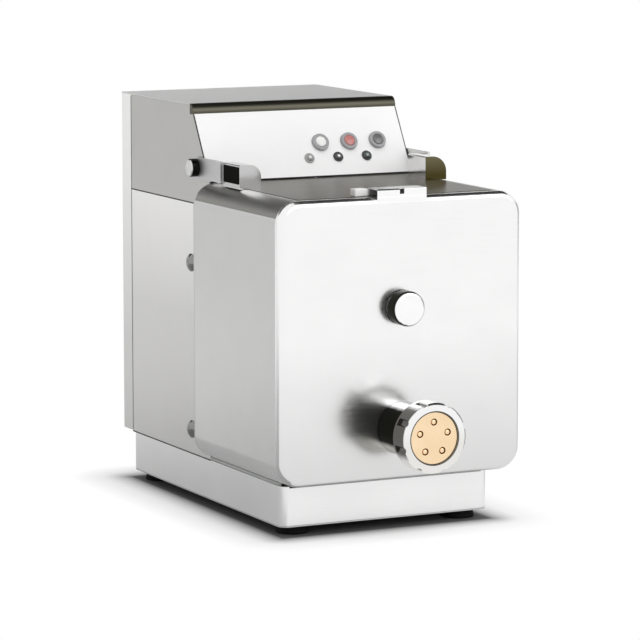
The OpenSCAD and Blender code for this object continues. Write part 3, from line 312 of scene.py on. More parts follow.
def cast_metal(name, dark, light, rough, metallic, skin=900, depth=0.0003, coat=0.0):
    """skin is how fine the sand is, and depth how far it stands out."""
    paint = Paint(name)
    sand = paint.noise(skin, detail=4, rough=0.65)
    flow = paint.noise(22, detail=2)
    paint.set(Base_Color=paint.mix((sand + flow) * 0.5, dark, light), Metallic=metallic,
              Roughness=rough + (sand - 0.5) * 0.2, Coat_Weight=coat)
    paint.bump(sand + flow * 2, 0.35, depth)
    paint.keep()


turned_metal("polished steel", (0.66, 0.66, 0.67), (0.80, 0.80, 0.80), 0.10, 0.0008)
turned_metal("turned steel", (0.55, 0.55, 0.56), (0.68, 0.68, 0.68), 0.24, 0.0010)
turned_metal("bezel steel", (0.30, 0.30, 0.31), (0.40, 0.40, 0.41), 0.30, 0.0010)
turned_metal("bolt steel", (0.20, 0.20, 0.19), (0.32, 0.32, 0.31), 0.12, 0.0008)
turned_metal("gear steel", (0.30, 0.30, 0.31), (0.44, 0.44, 0.45), 0.34, 0.0012)
turned_metal("bronze", (0.86, 0.64, 0.40), (0.97, 0.77, 0.52), 0.26, 0.0009)
cast_metal("zinc", (0.52, 0.53, 0.55), (0.66, 0.67, 0.69), 0.36, 0.8, skin=1500, depth=0.0001)
cast_metal("cast aluminium", (0.44, 0.45, 0.46), (0.58, 0.59, 0.60), 0.52, 0.55)
cast_metal("motor paint", (0.060, 0.085, 0.115), (0.085, 0.115, 0.15), 0.45, 0.0, coat=0.3)
print("metals:", len(finishes))

# %% [markdown]
# ## Finishes in zones
# Some polished parts are bright in one place and blackened in another. Each zone is a mask made
# from the position, with a soft border. A round part needs the distance from its own axis, so
# that comes first: one axis runs through the mixer and its knob, the other through the auger,
# the barrel and the ring nut.

# %% Distance from an axis
MIXER_Z, AUGER_Z = 0.292, 0.137


def off_axis(paint, axis_z):
    """Distance from an axis along Y at height axis_z, and the height over it."""
    side, up = paint.axis("X"), paint.axis("Z") - axis_z
    return (side * side + up * up) ** 0.5, up


print("axes at", MIXER_Z, "and", AUGER_Z)

# %% [markdown]
# ## The knob's finish
# The knob is turned from a bar, and its end is faced and polished. Its side is polished steel too,
# but painted near black: a painted dark reflection of the surroundings it mirrors. The border is a
# circle just inside the rim. A metal mirrors more at a low angle, however black it is, and Specular
# Tint takes that back.

# %% Knob
KNOB_FACE_R, KNOB_MARKS = 0.0206, 0.0008


def knob_finish():
    paint = Paint("knob steel")
    reach, up = off_axis(paint, MIXER_Z)
    stains = paint.noise(45, detail=3)
    face = paint.mix(stains, (0.92, 0.92, 0.93), (0.98, 0.98, 0.98))
    # Beyond the face, the side is painted near black as a painted dark reflection.
    side = reach.ramp(KNOB_FACE_R, KNOB_FACE_R + BORDER)
    paint.set(Base_Color=paint.mix(side, face, (0.016, 0.017, 0.012)), Metallic=1.0,
              Roughness=0.16 + (stains - 0.5) * 0.1)
    paint.shader.inputs["Specular Tint"].default_value = (0.6, 0.6, 0.6, 1)
    paint.bump(reach.wave(KNOB_MARKS), 0.10, MARK_DEPTH)
    paint.keep()


knob_finish()
print("knob: bright up to", KNOB_FACE_R)

# %% [markdown]
# ## The barrel's and the nut's finish
# The barrel and its nut are polished steel, and light is painted into their colour: a painted
# highlight along the top, a painted reflection of the pale floor along the underside, and a painted
# dark reflection along their flanks, with painted shade in the grip notches. The mask reads the
# height over the axis as a share of the radius, and a little noise makes its border uneven. The
# nut's front face stays bright, apart from a painted shadow ring where the die meets the nut.

# %% Barrel and nut
BARREL_R, NUT_R, NUT_MARKS = 0.034, 0.045, 0.0009
NUT_FACE_Y = -0.3262
# Radii of the painted shadow ring round the die.
DIE_GAP_LOW, DIE_GAP_HIGH = 0.0330, 0.0346


def flank_finish(name, radius, dark, low, rough, tint, notched=False):
    """Painted dark reflection along the flanks, a painted highlight on top and a painted floor
    reflection below, and, where notched, painted shade in the notches and a painted shadow round
    the die.
    """
    paint = Paint(name)
    reach, up = off_axis(paint, AUGER_Z)
    stains = paint.noise(60, detail=3)
    height = up / radius + (stains - 0.5) * 0.10
    front = 1.0 - paint.axis("Y").ramp(NUT_FACE_Y, NUT_FACE_Y + 0.001)
    # Painted dark reflection along the flanks.
    painted_dark = height.ramp(-0.62, -0.42) * (1.0 - height.ramp(0.80, 0.92)) * (1.0 - front)
    if notched:
        # Painted shade in the notches and a painted shadow ring round the die.
        notch_shade = (1.0 - reach.ramp(radius - 0.0022, radius - 0.0014)) * (1.0 - front)
        ring = front * reach.ramp(DIE_GAP_LOW, DIE_GAP_LOW + 0.0004) * (
            1.0 - reach.ramp(DIE_GAP_HIGH, DIE_GAP_HIGH + 0.0004))
        painted_dark = painted_dark.math("MAXIMUM", notch_shade).math("MAXIMUM", ring)
    # Painted highlight on top, turning into the painted floor reflection (the low colour)
    # underneath.
    bright = paint.mix(height.ramp(-0.2, 0.3), low, (0.90, 0.90, 0.90))
    paint.set(Base_Color=paint.mix(painted_dark, bright, dark), Metallic=1.0,
              Roughness=rough + (stains - 0.5) * 0.1)
    paint.shader.inputs["Specular Tint"].default_value = (tint, tint, tint, 1)
    paint.bump(paint.axis("Y").wave(NUT_MARKS), 0.12, MARK_DEPTH)
    paint.keep()


# The dark colours are painted dark reflections, and the low colours painted reflections of the
# floor.
flank_finish("barrel steel", BARREL_R, (0.010, 0.010, 0.007), (0.78, 0.77, 0.70), 0.14, 0.55)
flank_finish("nut steel", NUT_R, (0.11, 0.105, 0.095), (0.80, 0.79, 0.76), 0.16, 1.0,
             notched=True)
print("finishes with barrel and nut:", len(finishes))

# %% [markdown]
# ## The lid brackets' finish
# Each bracket has a polished block beside the lid and a brushed arm behind it. The left-hand
# bracket is painted darker and the right-hand one brighter, as painted light and shade, and the
# front of the right-hand block is painted a dark brown that grows darker towards the bottom, as a
# painted dark reflection. So the masks read how far back the surface is, and on which side.

# %% Lid brackets
BLOCK_FRONT_Y, BLOCK_BACK_Y = -0.0737, -0.0245


def bracket_finish():
    paint = Paint("bracket steel")
    stains = paint.noise(45, detail=3)
    streaks = brushing(paint, ALONG_Y)
    back = paint.axis("Y")
    right = paint.axis("X").ramp(0.0, 0.001)
    arm = back.ramp(BLOCK_BACK_Y, BLOCK_BACK_Y + 0.001)
    # Painted light and shade: the left bracket is written darker, the right one brighter.
    steel = paint.mix(right, (0.52, 0.52, 0.52), (0.84, 0.83, 0.80))
    worn = paint.mix(stains, steel, (0.60, 0.60, 0.60))
    # Painted dark reflection on the front of the right block, darker towards the bottom.
    brown_reflection = paint.mix(paint.axis("Z").ramp(0.440, 0.466), (0.060, 0.048, 0.016),
                      (0.155, 0.140, 0.080))
    painted_reflection_front = right * (1.0 - back.ramp(BLOCK_FRONT_Y, BLOCK_FRONT_Y + 0.001))
    paint.set(Base_Color=paint.mix(painted_reflection_front, worn, brown_reflection), Metallic=1.0,
              Roughness=0.12 + arm * 0.30 + (streaks - 0.5) * 0.1)
    paint.bump(streaks, 0.06, 0.0001)
    paint.keep()


bracket_finish()
print("brackets: brushed behind", BLOCK_BACK_Y)

# %% [markdown]
# ## The hinge pins' finish
# The pins that the lid turns on are polished steel with their outer ends turned bright; their sides
# are painted near black, as a painted dark reflection. The two pins mirror each other, so the mask
# reads the distance from the middle plane.

# %% Hinge pins
PIN_END_X = 0.1638


def pin_finish():
    paint = Paint("pivot steel")
    end = paint.axis("X").math("ABSOLUTE").ramp(PIN_END_X, PIN_END_X + 0.0007)
    stains = paint.noise(60, detail=3)
    bright = paint.mix(stains, (0.60, 0.60, 0.58), (0.78, 0.78, 0.76))
    # Painted dark reflection round the sides, up to the bright ends.
    paint.set(Base_Color=paint.mix(end, (0.014, 0.014, 0.012), bright), Metallic=1.0,
              Roughness=0.24 + (stains - 0.5) * 0.12)
    paint.bump(stains, 0.1, 0.0001)
    paint.keep()


pin_finish()
print("hinge pins: bright beyond", PIN_END_X)

# %% [markdown]
# ## The handle's finish
# The lid's handle is a bent channel. It is brushed bright outside. Inside the channel, where the
# fingers go, it is painted black as painted shade, and along its left part a painted shadow line
# marks the joint. The same mask turns Metallic off and raises Roughness there.

# %% Handle
CHANNEL_FRONT_Y, CHANNEL_BACK_Y, CHANNEL_TOP_Z = -0.2358, -0.2128, 0.4417
JOINT_FRONT_Y, JOINT_LOW_Z, JOINT_RIGHT_X = -0.2362, 0.4416, -0.0032
HANDLE_BORDER = 0.0004


def handle_finish():
    paint = Paint("handle steel")
    grain = brushing(paint, ALONG_X)
    side, back, up = (paint.axis(letter) for letter in "XYZ")
    # Painted shade inside the channel.
    channel = (back.ramp(CHANNEL_FRONT_Y, CHANNEL_FRONT_Y + HANDLE_BORDER)
               * (1.0 - back.ramp(CHANNEL_BACK_Y, CHANNEL_BACK_Y + BORDER))
               * (1.0 - up.ramp(CHANNEL_TOP_Z, CHANNEL_TOP_Z + HANDLE_BORDER)))
    # Painted shadow line along the joint on the left part.
    joint = (up.ramp(JOINT_LOW_Z, JOINT_LOW_Z + HANDLE_BORDER)
             * (1.0 - back.ramp(JOINT_FRONT_Y, JOINT_FRONT_Y + HANDLE_BORDER))
             * (1.0 - side.ramp(JOINT_RIGHT_X, JOINT_RIGHT_X + HANDLE_BORDER)))
    black = channel.math("MAXIMUM", joint)
    bright = paint.mix(grain, (0.88, 0.88, 0.88), (0.94, 0.94, 0.94))
    paint.set(Base_Color=paint.mix(black, bright, (0.008, 0.008, 0.008)),
              Metallic=1.0 - black, Roughness=0.26 + black * 0.4 + (grain - 0.5) * 0.12)
    paint.bump(grain, 0.08, 0.0002)
    paint.keep()


handle_finish()
print("with the zoned finishes:", len(finishes))

# %% [markdown]
# ## Rubber and plastics
# Soft and moulded parts are mostly roughness and a faint texture, which a mould leaves on them.
# The lid is smoked polycarbonate: nearly opaque from outside, with a smooth face that takes
# reflections. Rubber returns hardly any light at all, and so does the near-black sheet on the left
# bracket, which is a painted dark reflection; so their specular level is low as well as their
# colour.

# %% Plastics
def moulded(name, dark, light, rough, skin=1600, depth=0.00008, coat=0.0, alpha=1.0,
            specular=0.5):
    paint = Paint(name)
    paint.shader.inputs["Specular IOR Level"].default_value = specular
    texture = paint.noise(skin, detail=2, rough=0.6)
    cloud = paint.noise(30, detail=2)
    paint.set(Base_Color=paint.mix(cloud, dark, light), Metallic=0.0, Coat_Weight=coat,
              Alpha=alpha, Roughness=rough + (texture - 0.5) * 0.12 + (cloud - 0.5) * 0.06)
    paint.bump(texture, 0.3, depth)
    paint.keep()


moulded("black rubber", (0.004, 0.004, 0.004), (0.009, 0.009, 0.009), 0.80, skin=700,
        specular=0.15)
moulded("seal rubber", (0.10, 0.10, 0.10), (0.15, 0.15, 0.15), 0.65)
# Painted shade: the black beads in the joints stand for the shade there.
moulded("painted joint shade", (0.012, 0.012, 0.011), (0.024, 0.024, 0.022), 0.6)
# Painted dark reflection: the near-black sheet on the left bracket block.
moulded("painted dark reflection", (0.004, 0.004, 0.004), (0.007, 0.007, 0.006), 0.85, specular=0.04)
moulded("black plastic", (0.010, 0.010, 0.011), (0.022, 0.022, 0.023), 0.36, coat=0.2)
moulded("white cap", (0.84, 0.84, 0.83), (0.92, 0.92, 0.91), 0.34, coat=0.3)
moulded("red cap", (0.48, 0.165, 0.150), (0.60, 0.215, 0.195), 0.26, coat=0.6)
moulded("dark cap", (0.13, 0.135, 0.13), (0.18, 0.185, 0.18), 0.22, coat=0.6)
moulded("lid smoke", (0.055, 0.049, 0.034), (0.072, 0.065, 0.047), 0.30, depth=0.00004,
        alpha=0.985, specular=0.22)
moulded("panel film", (0.90, 0.90, 0.90), (0.94, 0.94, 0.94), 0.45, skin=2600, depth=0.00004)
moulded("grey plastic", (0.30, 0.31, 0.30), (0.40, 0.41, 0.40), 0.5)
print("with rubber and plastics:", len(finishes))

# %% [markdown]
# ## Lenses of the pilot lamps
# A pilot lamp's lens is dark while it is off. Fine rings are moulded in its back, and a paler spot
# in its middle is a painted highlight. The lenses stand in a row on the panel's slope, so the
# pattern is measured along that slope, from the middle of each lens.

# %% Lenses
SLOPE = Vector((0, 50, 85)).normalized()
LAMP_X, LAMP_PITCH, LAMP_UP = 0.0027, 0.0426, 0.4129
SPOT_R, SPOT_END, LENS_RINGS = 0.0014, 0.0026, 0.0009


def lens_finish(name, glass, glint, number):
    """A moulded lens with a painted highlight in its middle."""
    paint = Paint(name)
    across = paint.axis("X") - (LAMP_X + number * LAMP_PITCH)
    along = paint.axis("Y") * SLOPE.y + paint.axis("Z") * SLOPE.z - LAMP_UP
    reach = (across * across + along * along) ** 0.5
    rings = (reach * (math.tau / LENS_RINGS)).math("SINE")
    # The glint colour in the middle is a painted highlight.
    paint.set(Base_Color=paint.mix(reach.ramp(SPOT_R, SPOT_END), glint, glass), Metallic=0.0,
              Coat_Weight=1.0, Roughness=0.14 + rings * 0.03)
    paint.bump(rings, 0.2, 0.0001)
    paint.keep()


LENSES = {"grey lens": ((0.30, 0.30, 0.30), (0.80, 0.80, 0.80)),
          "dark lens": ((0.035, 0.038, 0.036), (0.90, 0.90, 0.90)),
          "green lens": ((0.020, 0.034, 0.027), (0.30, 0.36, 0.33))}
for number, (name, (glass, glint)) in enumerate(LENSES.items()):
    lens_finish(name, glass, glint, number)
print("lenses:", list(LENSES))

# %% [markdown]
# ## Circuit board
# A board is a sheet of glass cloth under a green lacquer, with copper tracks that show through
# as a lighter green. A brick pattern with thin joints stands for the tracks, because both are
# straight runs on a fine lattice.

# %% Board finish
def board_finish():
    """Green solder mask, with tracks in a lighter green on a fine lattice."""
    paint = Paint("circuit board")
    made = paint.node("ShaderNodeTexBrick", {"offset": 0.3},
                      {"Vector": paint.stretched((0, 1, 1)), "Scale": 160.0,
                       "Mortar Size": 0.05, "Mortar Smooth": 0.2})
    tracks = Value(paint, made.outputs["Fac"])
    cloth = paint.noise(900, detail=2)
    paint.set(Base_Color=paint.mix(tracks, (0.012, 0.075, 0.030), (0.035, 0.16, 0.062)),
              Metallic=0.0, Coat_Weight=0.4, Roughness=0.42 + (cloth - 0.5) * 0.2)
    paint.bump(tracks * 0.6 + cloth * 0.4, 0.3, 0.00005)
    paint.keep()


board_finish()
print("all finishes:", len(finishes))

# %% [markdown]
# ## Which finish goes where
# Every part of the CAD model gets a material, also the parts inside, because a lid or a cover may
# be taken off in a later scene. The table below is the machine's parts list as a painter or a
# plater would read it: one line for each finish.

# %% Finishes of the nodes
NODES_IN_FINISH = {
    "base sheet": ["base_tray"],
    "column sheet": ["side_panel_left", "side_panel_right"],
    "head sheet": ["head_shell"],
    "top sheet": ["top_cover"],
    "cover sheet": ["rear_cover"],
    "tank sheet": ["tank_shell"],
    "front sheet": ["front_plate"],
    "handle steel": ["lid_handle"],
    "panel film": ["control_panel"],
    "inner sheet": ["bottom_plate", "front_bulkhead", "rear_rails", "tank_rear_plate",
                    "mixing_tub"],
    "polished steel": ["knob_washer"],
    "bolt steel": ["side_bolts"],
    "knob steel": ["mixer_knob"],
    "bracket steel": ["lid_bracket_left", "lid_bracket_right"],
    "pivot steel": ["hinge_pins"],
    "barrel steel": ["extruder_barrel"],
    "nut steel": ["ring_nut"],
    "bezel steel": ["button_bezels"],
    "turned steel": ["knob_bush", "mixer_shaft", "auger_shaft", "motor_shaft",
                     "intermediate_shaft", "mixer_paddles", "auger_screw"],
    "gear steel": ["mixer_gear", "auger_gear", "intermediate_gear", "shaft_bearings"],
    "bronze": ["extrusion_die"],
    "zinc": ["foot_screws", "rear_cover_screws", "tank_bolts", "gearbox_screws",
             "motor_screws"],
    "cast aluminium": ["gearbox_housing", "gearbox_cover", "start_capacitor"],
    "motor paint": ["motor_housing"],
    "black rubber": ["rubber_feet"],
    "seal rubber": ["rim_gasket", "shaft_seals"],
    "black plastic": ["cable_gland", "contact_blocks", "fan_cowl", "pilot_bezels"],
    "white cap": ["start_button", "lid_magnet"],
    "red cap": ["stop_button"],
    "dark cap": ["extrude_button"],
    "dark lens": ["pilot_lamps"],
    "lid smoke": ["lid_panel"],
    "grey plastic": ["cooling_fan"],
    "circuit board": ["control_board"],
}
finish_of = {node: name for name, nodes in NODES_IN_FINISH.items() for node in nodes}
for node, name in finish_of.items():
    mesh = frame["nodes"][node].data
    mesh.materials.clear()
    mesh.materials.append(finishes[name])
print("nodes without a finish:", sorted(set(body_of_node) - set(finish_of)))

# %% [markdown]
# ## From a CAD node to a dressed piece
# The CAD meshes are loose triangles with hard edges, and they are left alone. A dressed piece is
# a copy: its triangles are merged back into flat faces, and it becomes an object that rides on
# the same body. A sheet with dozens of slots keeps its triangles, because a face with so many
# holes can't be cut up cleanly again.

# %% A copy that rides on a body
PIERCED = ("rear_cover", "bottom_plate")


def mesh_of(node):
    """The node's own mesh as a new bmesh, placed in the frame, in merged flat faces."""
    source = frame["nodes"][node]
    work = bmesh.new()
    work.from_mesh(source.data)
    work.transform(source.matrix_world)
    bmesh.ops.remove_doubles(work, verts=work.verts, dist=1e-6)
    if node not in PIERCED:
        bmesh.ops.dissolve_limit(work, angle_limit=math.radians(0.5), verts=work.verts,
                                 edges=work.edges, delimit={"NORMAL"})
    return work


def as_object(name, work, finish, body):
    """Turns a bmesh into a piece of the scene that rides on a body."""
    bmesh.ops.recalc_face_normals(work, faces=work.faces)
    mesh = bpy.data.meshes.new(name)
    work.to_mesh(mesh)
    work.free()
    mesh.materials.append(finishes[finish])
    piece = bpy.data.objects.new(name, mesh)
    scene.collection.objects.link(piece)
    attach(piece, body)
    return piece


print("kept as triangles:", PIERCED)

# %% [markdown]
# ## Rounded edges on every visible part
# No real edge is perfectly sharp. A bent sheet, a turned knob and a moulded cap all end in a
# small radius, and that radius is what catches a line of light. So every edge sharper than a set
# angle is bevelled by a fraction of a millimetre. Weighted normals then keep the flat faces
# flat, so that only the narrow bevel shades round. The table gives each part its own radius.

# %% Edge radii
SHARP_ANGLE = math.radians(30)


def rounded(piece, width):
    """Rounds the piece's sharp edges by width in millimetres and shades it smoothly."""
    for polygon in piece.data.polygons:
        polygon.use_smooth = True
    bevel = piece.modifiers.new("edge radius", "BEVEL")
    bevel.width = width * MM
    bevel.segments = 2
    bevel.limit_method = "ANGLE"
    bevel.angle_limit = SHARP_ANGLE
    bevel.use_clamp_overlap = True
    bevel.miter_outer = "MITER_ARC"
    flat = piece.modifiers.new("flat faces", "WEIGHTED_NORMAL")
    flat.weight = 100
    flat.keep_sharp = True
    return piece


def dressed(node, width):
    """The visible stand-in for a node: its own shape with small radii on the edges."""
    piece = as_object(node + "_dress", mesh_of(node), finish_of[node], body_of_node[node])
    rounded(piece, width)
    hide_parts(node)
    return piece


EDGE_MM = {
    "base_tray": 0.7, "rubber_feet": 0.8, "side_panel_left": 0.4, "side_panel_right": 0.4,
    "side_bolts": 0.5, "head_shell": 0.5, "top_cover": 0.6, "control_panel": 0.4,
    "rear_cover": 0.6, "button_bezels": 0.4, "start_button": 0.5, "stop_button": 0.5,
    "extrude_button": 0.5, "pilot_bezels": 0.3, "pilot_lamps": 0.2, "tank_shell": 0.5,
    "front_plate": 0.5, "tank_rear_plate": 0.5, "knob_bush": 0.3, "knob_washer": 0.4,
    "mixer_knob": 0.4, "lid_panel": 1.0, "lid_bracket_left": 0.6, "lid_bracket_right": 0.6,
    "lid_handle": 0.5, "lid_magnet": 0.8, "hinge_pins": 0.6, "extrusion_die": 0.5,
    "ring_nut": 0.7, "cable_gland": 0.5, "mixing_tub": 0.5, "mixer_paddles": 0.8,
    "gearbox_housing": 1.0, "gearbox_cover": 1.0, "motor_housing": 0.6, "bottom_plate": 0.4,
}
dresses = {node: dressed(node, width) for node, width in EDGE_MM.items()}
print("dressed parts:", len(dresses))

# %% [markdown]
# ## One lens colour for each pilot lamp
# The three pilot lamps are one node, because they are three of the same part, but their lenses
# differ. Each face picks its material by the lamp it belongs to, counted along the row. The
# first lamp also sits in a grey ring, and the others in black ones.

# %% Pilot lamps
def finished_by_lamp(node, names, index_of):
    """Gives the node's dress these finishes; index_of turns a lamp's number into one of them."""
    mesh = dresses[node].data
    mesh.materials.clear()
    for name in names:
        mesh.materials.append(finishes[name])
    for polygon in mesh.polygons:
        polygon.material_index = index_of((polygon.center.x - LAMP_X) / LAMP_PITCH)


finished_by_lamp("pilot_lamps", LENSES, round)
finished_by_lamp("pilot_bezels", ("black plastic", "grey plastic"), lambda lamp: int(lamp < 0.5))
print("lenses:", [slot.name for slot in dresses["pilot_lamps"].data.materials])

# %% [markdown]
# ## Repeated detail with Geometry Nodes
# Louvre hoods and die pins are one small form put on many points. A thread and a sealing bead
# are one small section swept along a path. Both kinds are built by a node tree with named
# inputs, which ends in Realize Instances and Set Material. The inputs are numbers in metres, set
# before the tree is evaluated. The result is kept as a plain mesh on the body it belongs to, so
# that it can be exported and it moves with its joint.

# %% A tree builder
class Tree:
    """A Geometry Nodes tree whose inputs are named numbers."""
    def __init__(self, name, **inputs):
        self.group = bpy.data.node_groups.new(name, "GeometryNodeTree")
        self.inputs = {}
        for label, value in inputs.items():
            kind = "NodeSocketInt" if isinstance(value, int) else "NodeSocketFloat"
            socket = self.group.interface.new_socket(label, in_out="INPUT", socket_type=kind)
            self.inputs[socket.identifier] = value
        self.group.interface.new_socket("Geometry", in_out="OUTPUT",
                                        socket_type="NodeSocketGeometry")
        self.entry = self.group.nodes.new("NodeGroupInput")
        self.exit = self.group.nodes.new("NodeGroupOutput")

    def node(self, kind, settings=None, sockets=None):
        made = self.group.nodes.new(kind)
        for key, value in (settings or {}).items():
            setattr(made, key, value)
        for key, value in (sockets or {}).items():
            if isinstance(value, bpy.types.NodeSocket):
                self.group.links.new(value, made.inputs[key])
            elif isinstance(value, str):
                self.group.links.new(self.entry.outputs[value], made.inputs[key])
            else:
                made.inputs[key].default_value = value
        return made

    def math(self, operation, first, second):
        return self.node("ShaderNodeMath", {"operation": operation},
                         {0: first, 1: second}).outputs[0]

    def stood_up(self, flat, lift=0.0):
        """Turns what lies in the XY plane up into the XZ plane, and lifts it."""
        shift = self.node("ShaderNodeCombineXYZ", {}, {2: lift}).outputs[0]
        return self.node("GeometryNodeTransform", {},
                         {"Geometry": flat, "Rotation": (math.pi / 2, 0, 0),
                          "Translation": shift}).outputs[0]

    def on_points(self, form, points):
        """One instance of the form on every point."""
        shape = self.node("GeometryNodeObjectInfo", {}, {"Object": form})
        return self.node("GeometryNodeInstanceOnPoints", {},
                         {"Points": points, "Instance": shape.outputs["Geometry"]}).outputs[0]

    def swept(self, path, radius):
        """A round section of this radius, swept along the path and capped."""
        section = self.node("GeometryNodeCurvePrimitiveCircle", {},
                            {"Resolution": 10, "Radius": radius})
        return self.node("GeometryNodeCurveToMesh", {},
                         {"Curve": path, "Profile Curve": section.outputs[0],
                          "Fill Caps": True}).outputs[0]

    def finish(self, geometry, finish):
        real = self.node("GeometryNodeRealizeInstances", {}, {"Geometry": geometry})
        painted = self.node("GeometryNodeSetMaterial", {},
                            {"Geometry": real.outputs[0], "Material": finishes[finish]})
        self.group.links.new(painted.outputs[0], self.exit.inputs[0])
        self.finish_name = finish
        return self


print("a tree ends in Realize Instances and Set Material")

# %% [markdown]
# ## Keeping what a tree makes
# A modifier would have to be evaluated again at every export. So a holder object carries the
# tree just once: its inputs are set, the evaluated result becomes a plain mesh, and the holder
# goes. The mesh is placed by its own points, since every piece's object stays at the origin.

# %% Keep a tree's result
def form_object(name, work):
    """A form for a tree to instance: it is not linked to the scene."""
    mesh = bpy.data.meshes.new(name)
    for face in work.faces:
        face.smooth = True
    work.to_mesh(mesh)
    work.free()
    return bpy.data.objects.new(name, mesh)


def kept(name, tree, body, place=Matrix.Identity(4)):
    """Evaluates the tree once and keeps what it makes as a plain mesh in the frame."""
    holder = bpy.data.objects.new(name + "_maker", bpy.data.meshes.new(name + "_maker"))
    scene.collection.objects.link(holder)
    modifier = holder.modifiers.new("grow", "NODES")
    modifier.node_group = tree.group
    for identifier, value in tree.inputs.items():
        modifier[identifier] = value
    seen = holder.evaluated_get(bpy.context.evaluated_depsgraph_get())
    mesh = bpy.data.meshes.new_from_object(seen)
    holder.modifiers.clear()
    bpy.data.objects.remove(holder)
    work = bmesh.new()
    work.from_mesh(mesh)
    bpy.data.meshes.remove(mesh)
    work.transform(place)
    piece = as_object(name, work, tree.finish_name, body)
    print(name, "has", len(piece.data.vertices), "vertices")
    return piece


# %% [markdown]
# ## A louvre hood
# The slots in the rear cover are pressed louvres: above each slot the sheet bulges out as a small
# hood, so that water running down cannot get in. One hood is a slice of a flattened tube, open at
# its lower side. It is drawn as rows of points across the slot: each row climbs from the edge of
# the bulge to its crest, and a second skin inside gives the sheet its thickness.

# %% The hood's form
VENT_WIDE, VENT_HIGH = 0.090, 0.005
HOOD_WIDE, HOOD_HIGH, HOOD_OUT, HOOD_WALL = VENT_WIDE + 0.004, VENT_HIGH + 0.003, 0.0035, 0.0008


def hood_form(wide, high, out, wall):
    """One hood about the origin: an arch from above the slot, over it, with closed ends."""
    work = bmesh.new()
    steps, ends = 8, 6
    rows = []
    for side in range(-ends, ends + 1):
        share = side / ends
        fall = math.sqrt(max(0.0, 1 - max(0.0, abs(share) * 1.25 - 0.25) ** 2))
        power = 1.3 if fall > 0.01 else 1.0
        row = []
        for step in range(steps + 1):
            turn = step / steps
            row.append((share * wide / 2, out * fall * math.sin(turn * math.pi / 2),
                        high * (1 - turn) ** power))
        rows.append(row)
    outer = [[work.verts.new(p) for p in row] for row in rows]
    inner = [[work.verts.new((p[0] * 0.985, p[1] - wall, p[2] - wall * 0.4)) for p in row]
             for row in rows]
    for a in range(2 * ends):
        for b in range(steps):
            work.faces.new((outer[a][b], outer[a + 1][b], outer[a + 1][b + 1], outer[a][b + 1]))
            work.faces.new((inner[a][b + 1], inner[a + 1][b + 1], inner[a + 1][b], inner[a][b]))
        work.faces.new((outer[a][steps], outer[a + 1][steps], inner[a + 1][steps],
                        inner[a][steps]))
        work.faces.new((inner[a][0], inner[a + 1][0], outer[a + 1][0], outer[a][0]))
    for a in (0, 2 * ends):
        for b in range(steps):
            work.faces.new((outer[a][b], outer[a][b + 1], inner[a][b + 1], inner[a][b]))
    bmesh.ops.recalc_face_normals(work, faces=work.faces)
    return work


hood = form_object("hood", hood_form(HOOD_WIDE, HOOD_HIGH, HOOD_OUT, HOOD_WALL))
print("one hood:", len(hood.data.polygons), "faces")

# %% [markdown]
# ## A grid of hoods
# The slots stand in two columns of nine. A grid of points has the same columns, rows and pitch,
# and every point gets one hood. The grid lies flat when it is made, so it is stood up first.

# %% Louvre hoods
VENT_COLUMNS, VENT_COLUMN_PITCH = 2, 0.150
VENT_ROWS, VENT_PITCH, VENT_LOW = 9, 0.014, 0.350


def grid_tree(form, columns, rows, step_x, step_z):
    """Instances of form on a grid in the XZ plane, centred in X, from Z = 0 up."""
    tree = Tree("grid of " + form.name, Columns=columns, Rows=rows, Step_X=step_x, Step_Z=step_z)
    across = tree.math("MULTIPLY", tree.math("SUBTRACT", "Columns", 1), "Step_X")
    up = tree.math("MULTIPLY", tree.math("SUBTRACT", "Rows", 1), "Step_Z")
    flat = tree.node("GeometryNodeMeshGrid", {}, {"Size X": across, "Size Y": up,
                                                  "Vertices X": "Columns", "Vertices Y": "Rows"})
    points = tree.stood_up(flat.outputs[0], tree.math("MULTIPLY", up, 0.5))
    return tree.finish(tree.on_points(form, points), "cover sheet")


hood_tree = grid_tree(hood, VENT_COLUMNS, VENT_ROWS, VENT_COLUMN_PITCH, VENT_PITCH)
cover_back_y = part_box("rear_cover")[1].y
kept("louvre_hoods", hood_tree, "body",
     Matrix.Translation((0, cover_back_y, VENT_LOW + 0.001)))

# %% [markdown]
# ## The barrel's thread
# The ring nut runs on a coarse round thread. A thread is a profile swept along a helix: Curve
# Spiral gives the helix, and Curve to Mesh sweeps a small circle along it. The smooth collar of
# the CAD barrel is first drawn in by the depth of the thread, on a copy, so that the ridges
# stand exactly inside the nut's bore.

# %% Barrel and thread
THREAD_OUTER_R, THREAD_DEPTH, THREAD_PITCH, THREAD_TURNS = 0.0391, 0.0013, 0.004, 3.0
THREAD_FRONT_Y, THREAD_BACK_Y = -0.305, -0.289
COLLAR_LEAST_R, MARGIN = 0.0385, 1e-4


def drawn_in_barrel():
    """The barrel's own shape, with the collar's surface moved in to the root of the thread."""
    work = mesh_of("extruder_barrel")
    for vert in work.verts:
        reach = Vector((vert.co.x, vert.co.z - AUGER_Z))
        threaded = THREAD_FRONT_Y - MARGIN < vert.co.y < THREAD_BACK_Y + MARGIN
        if threaded and reach.length > COLLAR_LEAST_R:
            shorter = reach.normalized() * (THREAD_OUTER_R - THREAD_DEPTH)
            vert.co.x, vert.co.z = shorter.x, shorter.y + AUGER_Z
    piece = as_object("extruder_barrel_dress", work, "barrel steel", "body")
    rounded(piece, 0.5)
    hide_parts("extruder_barrel")


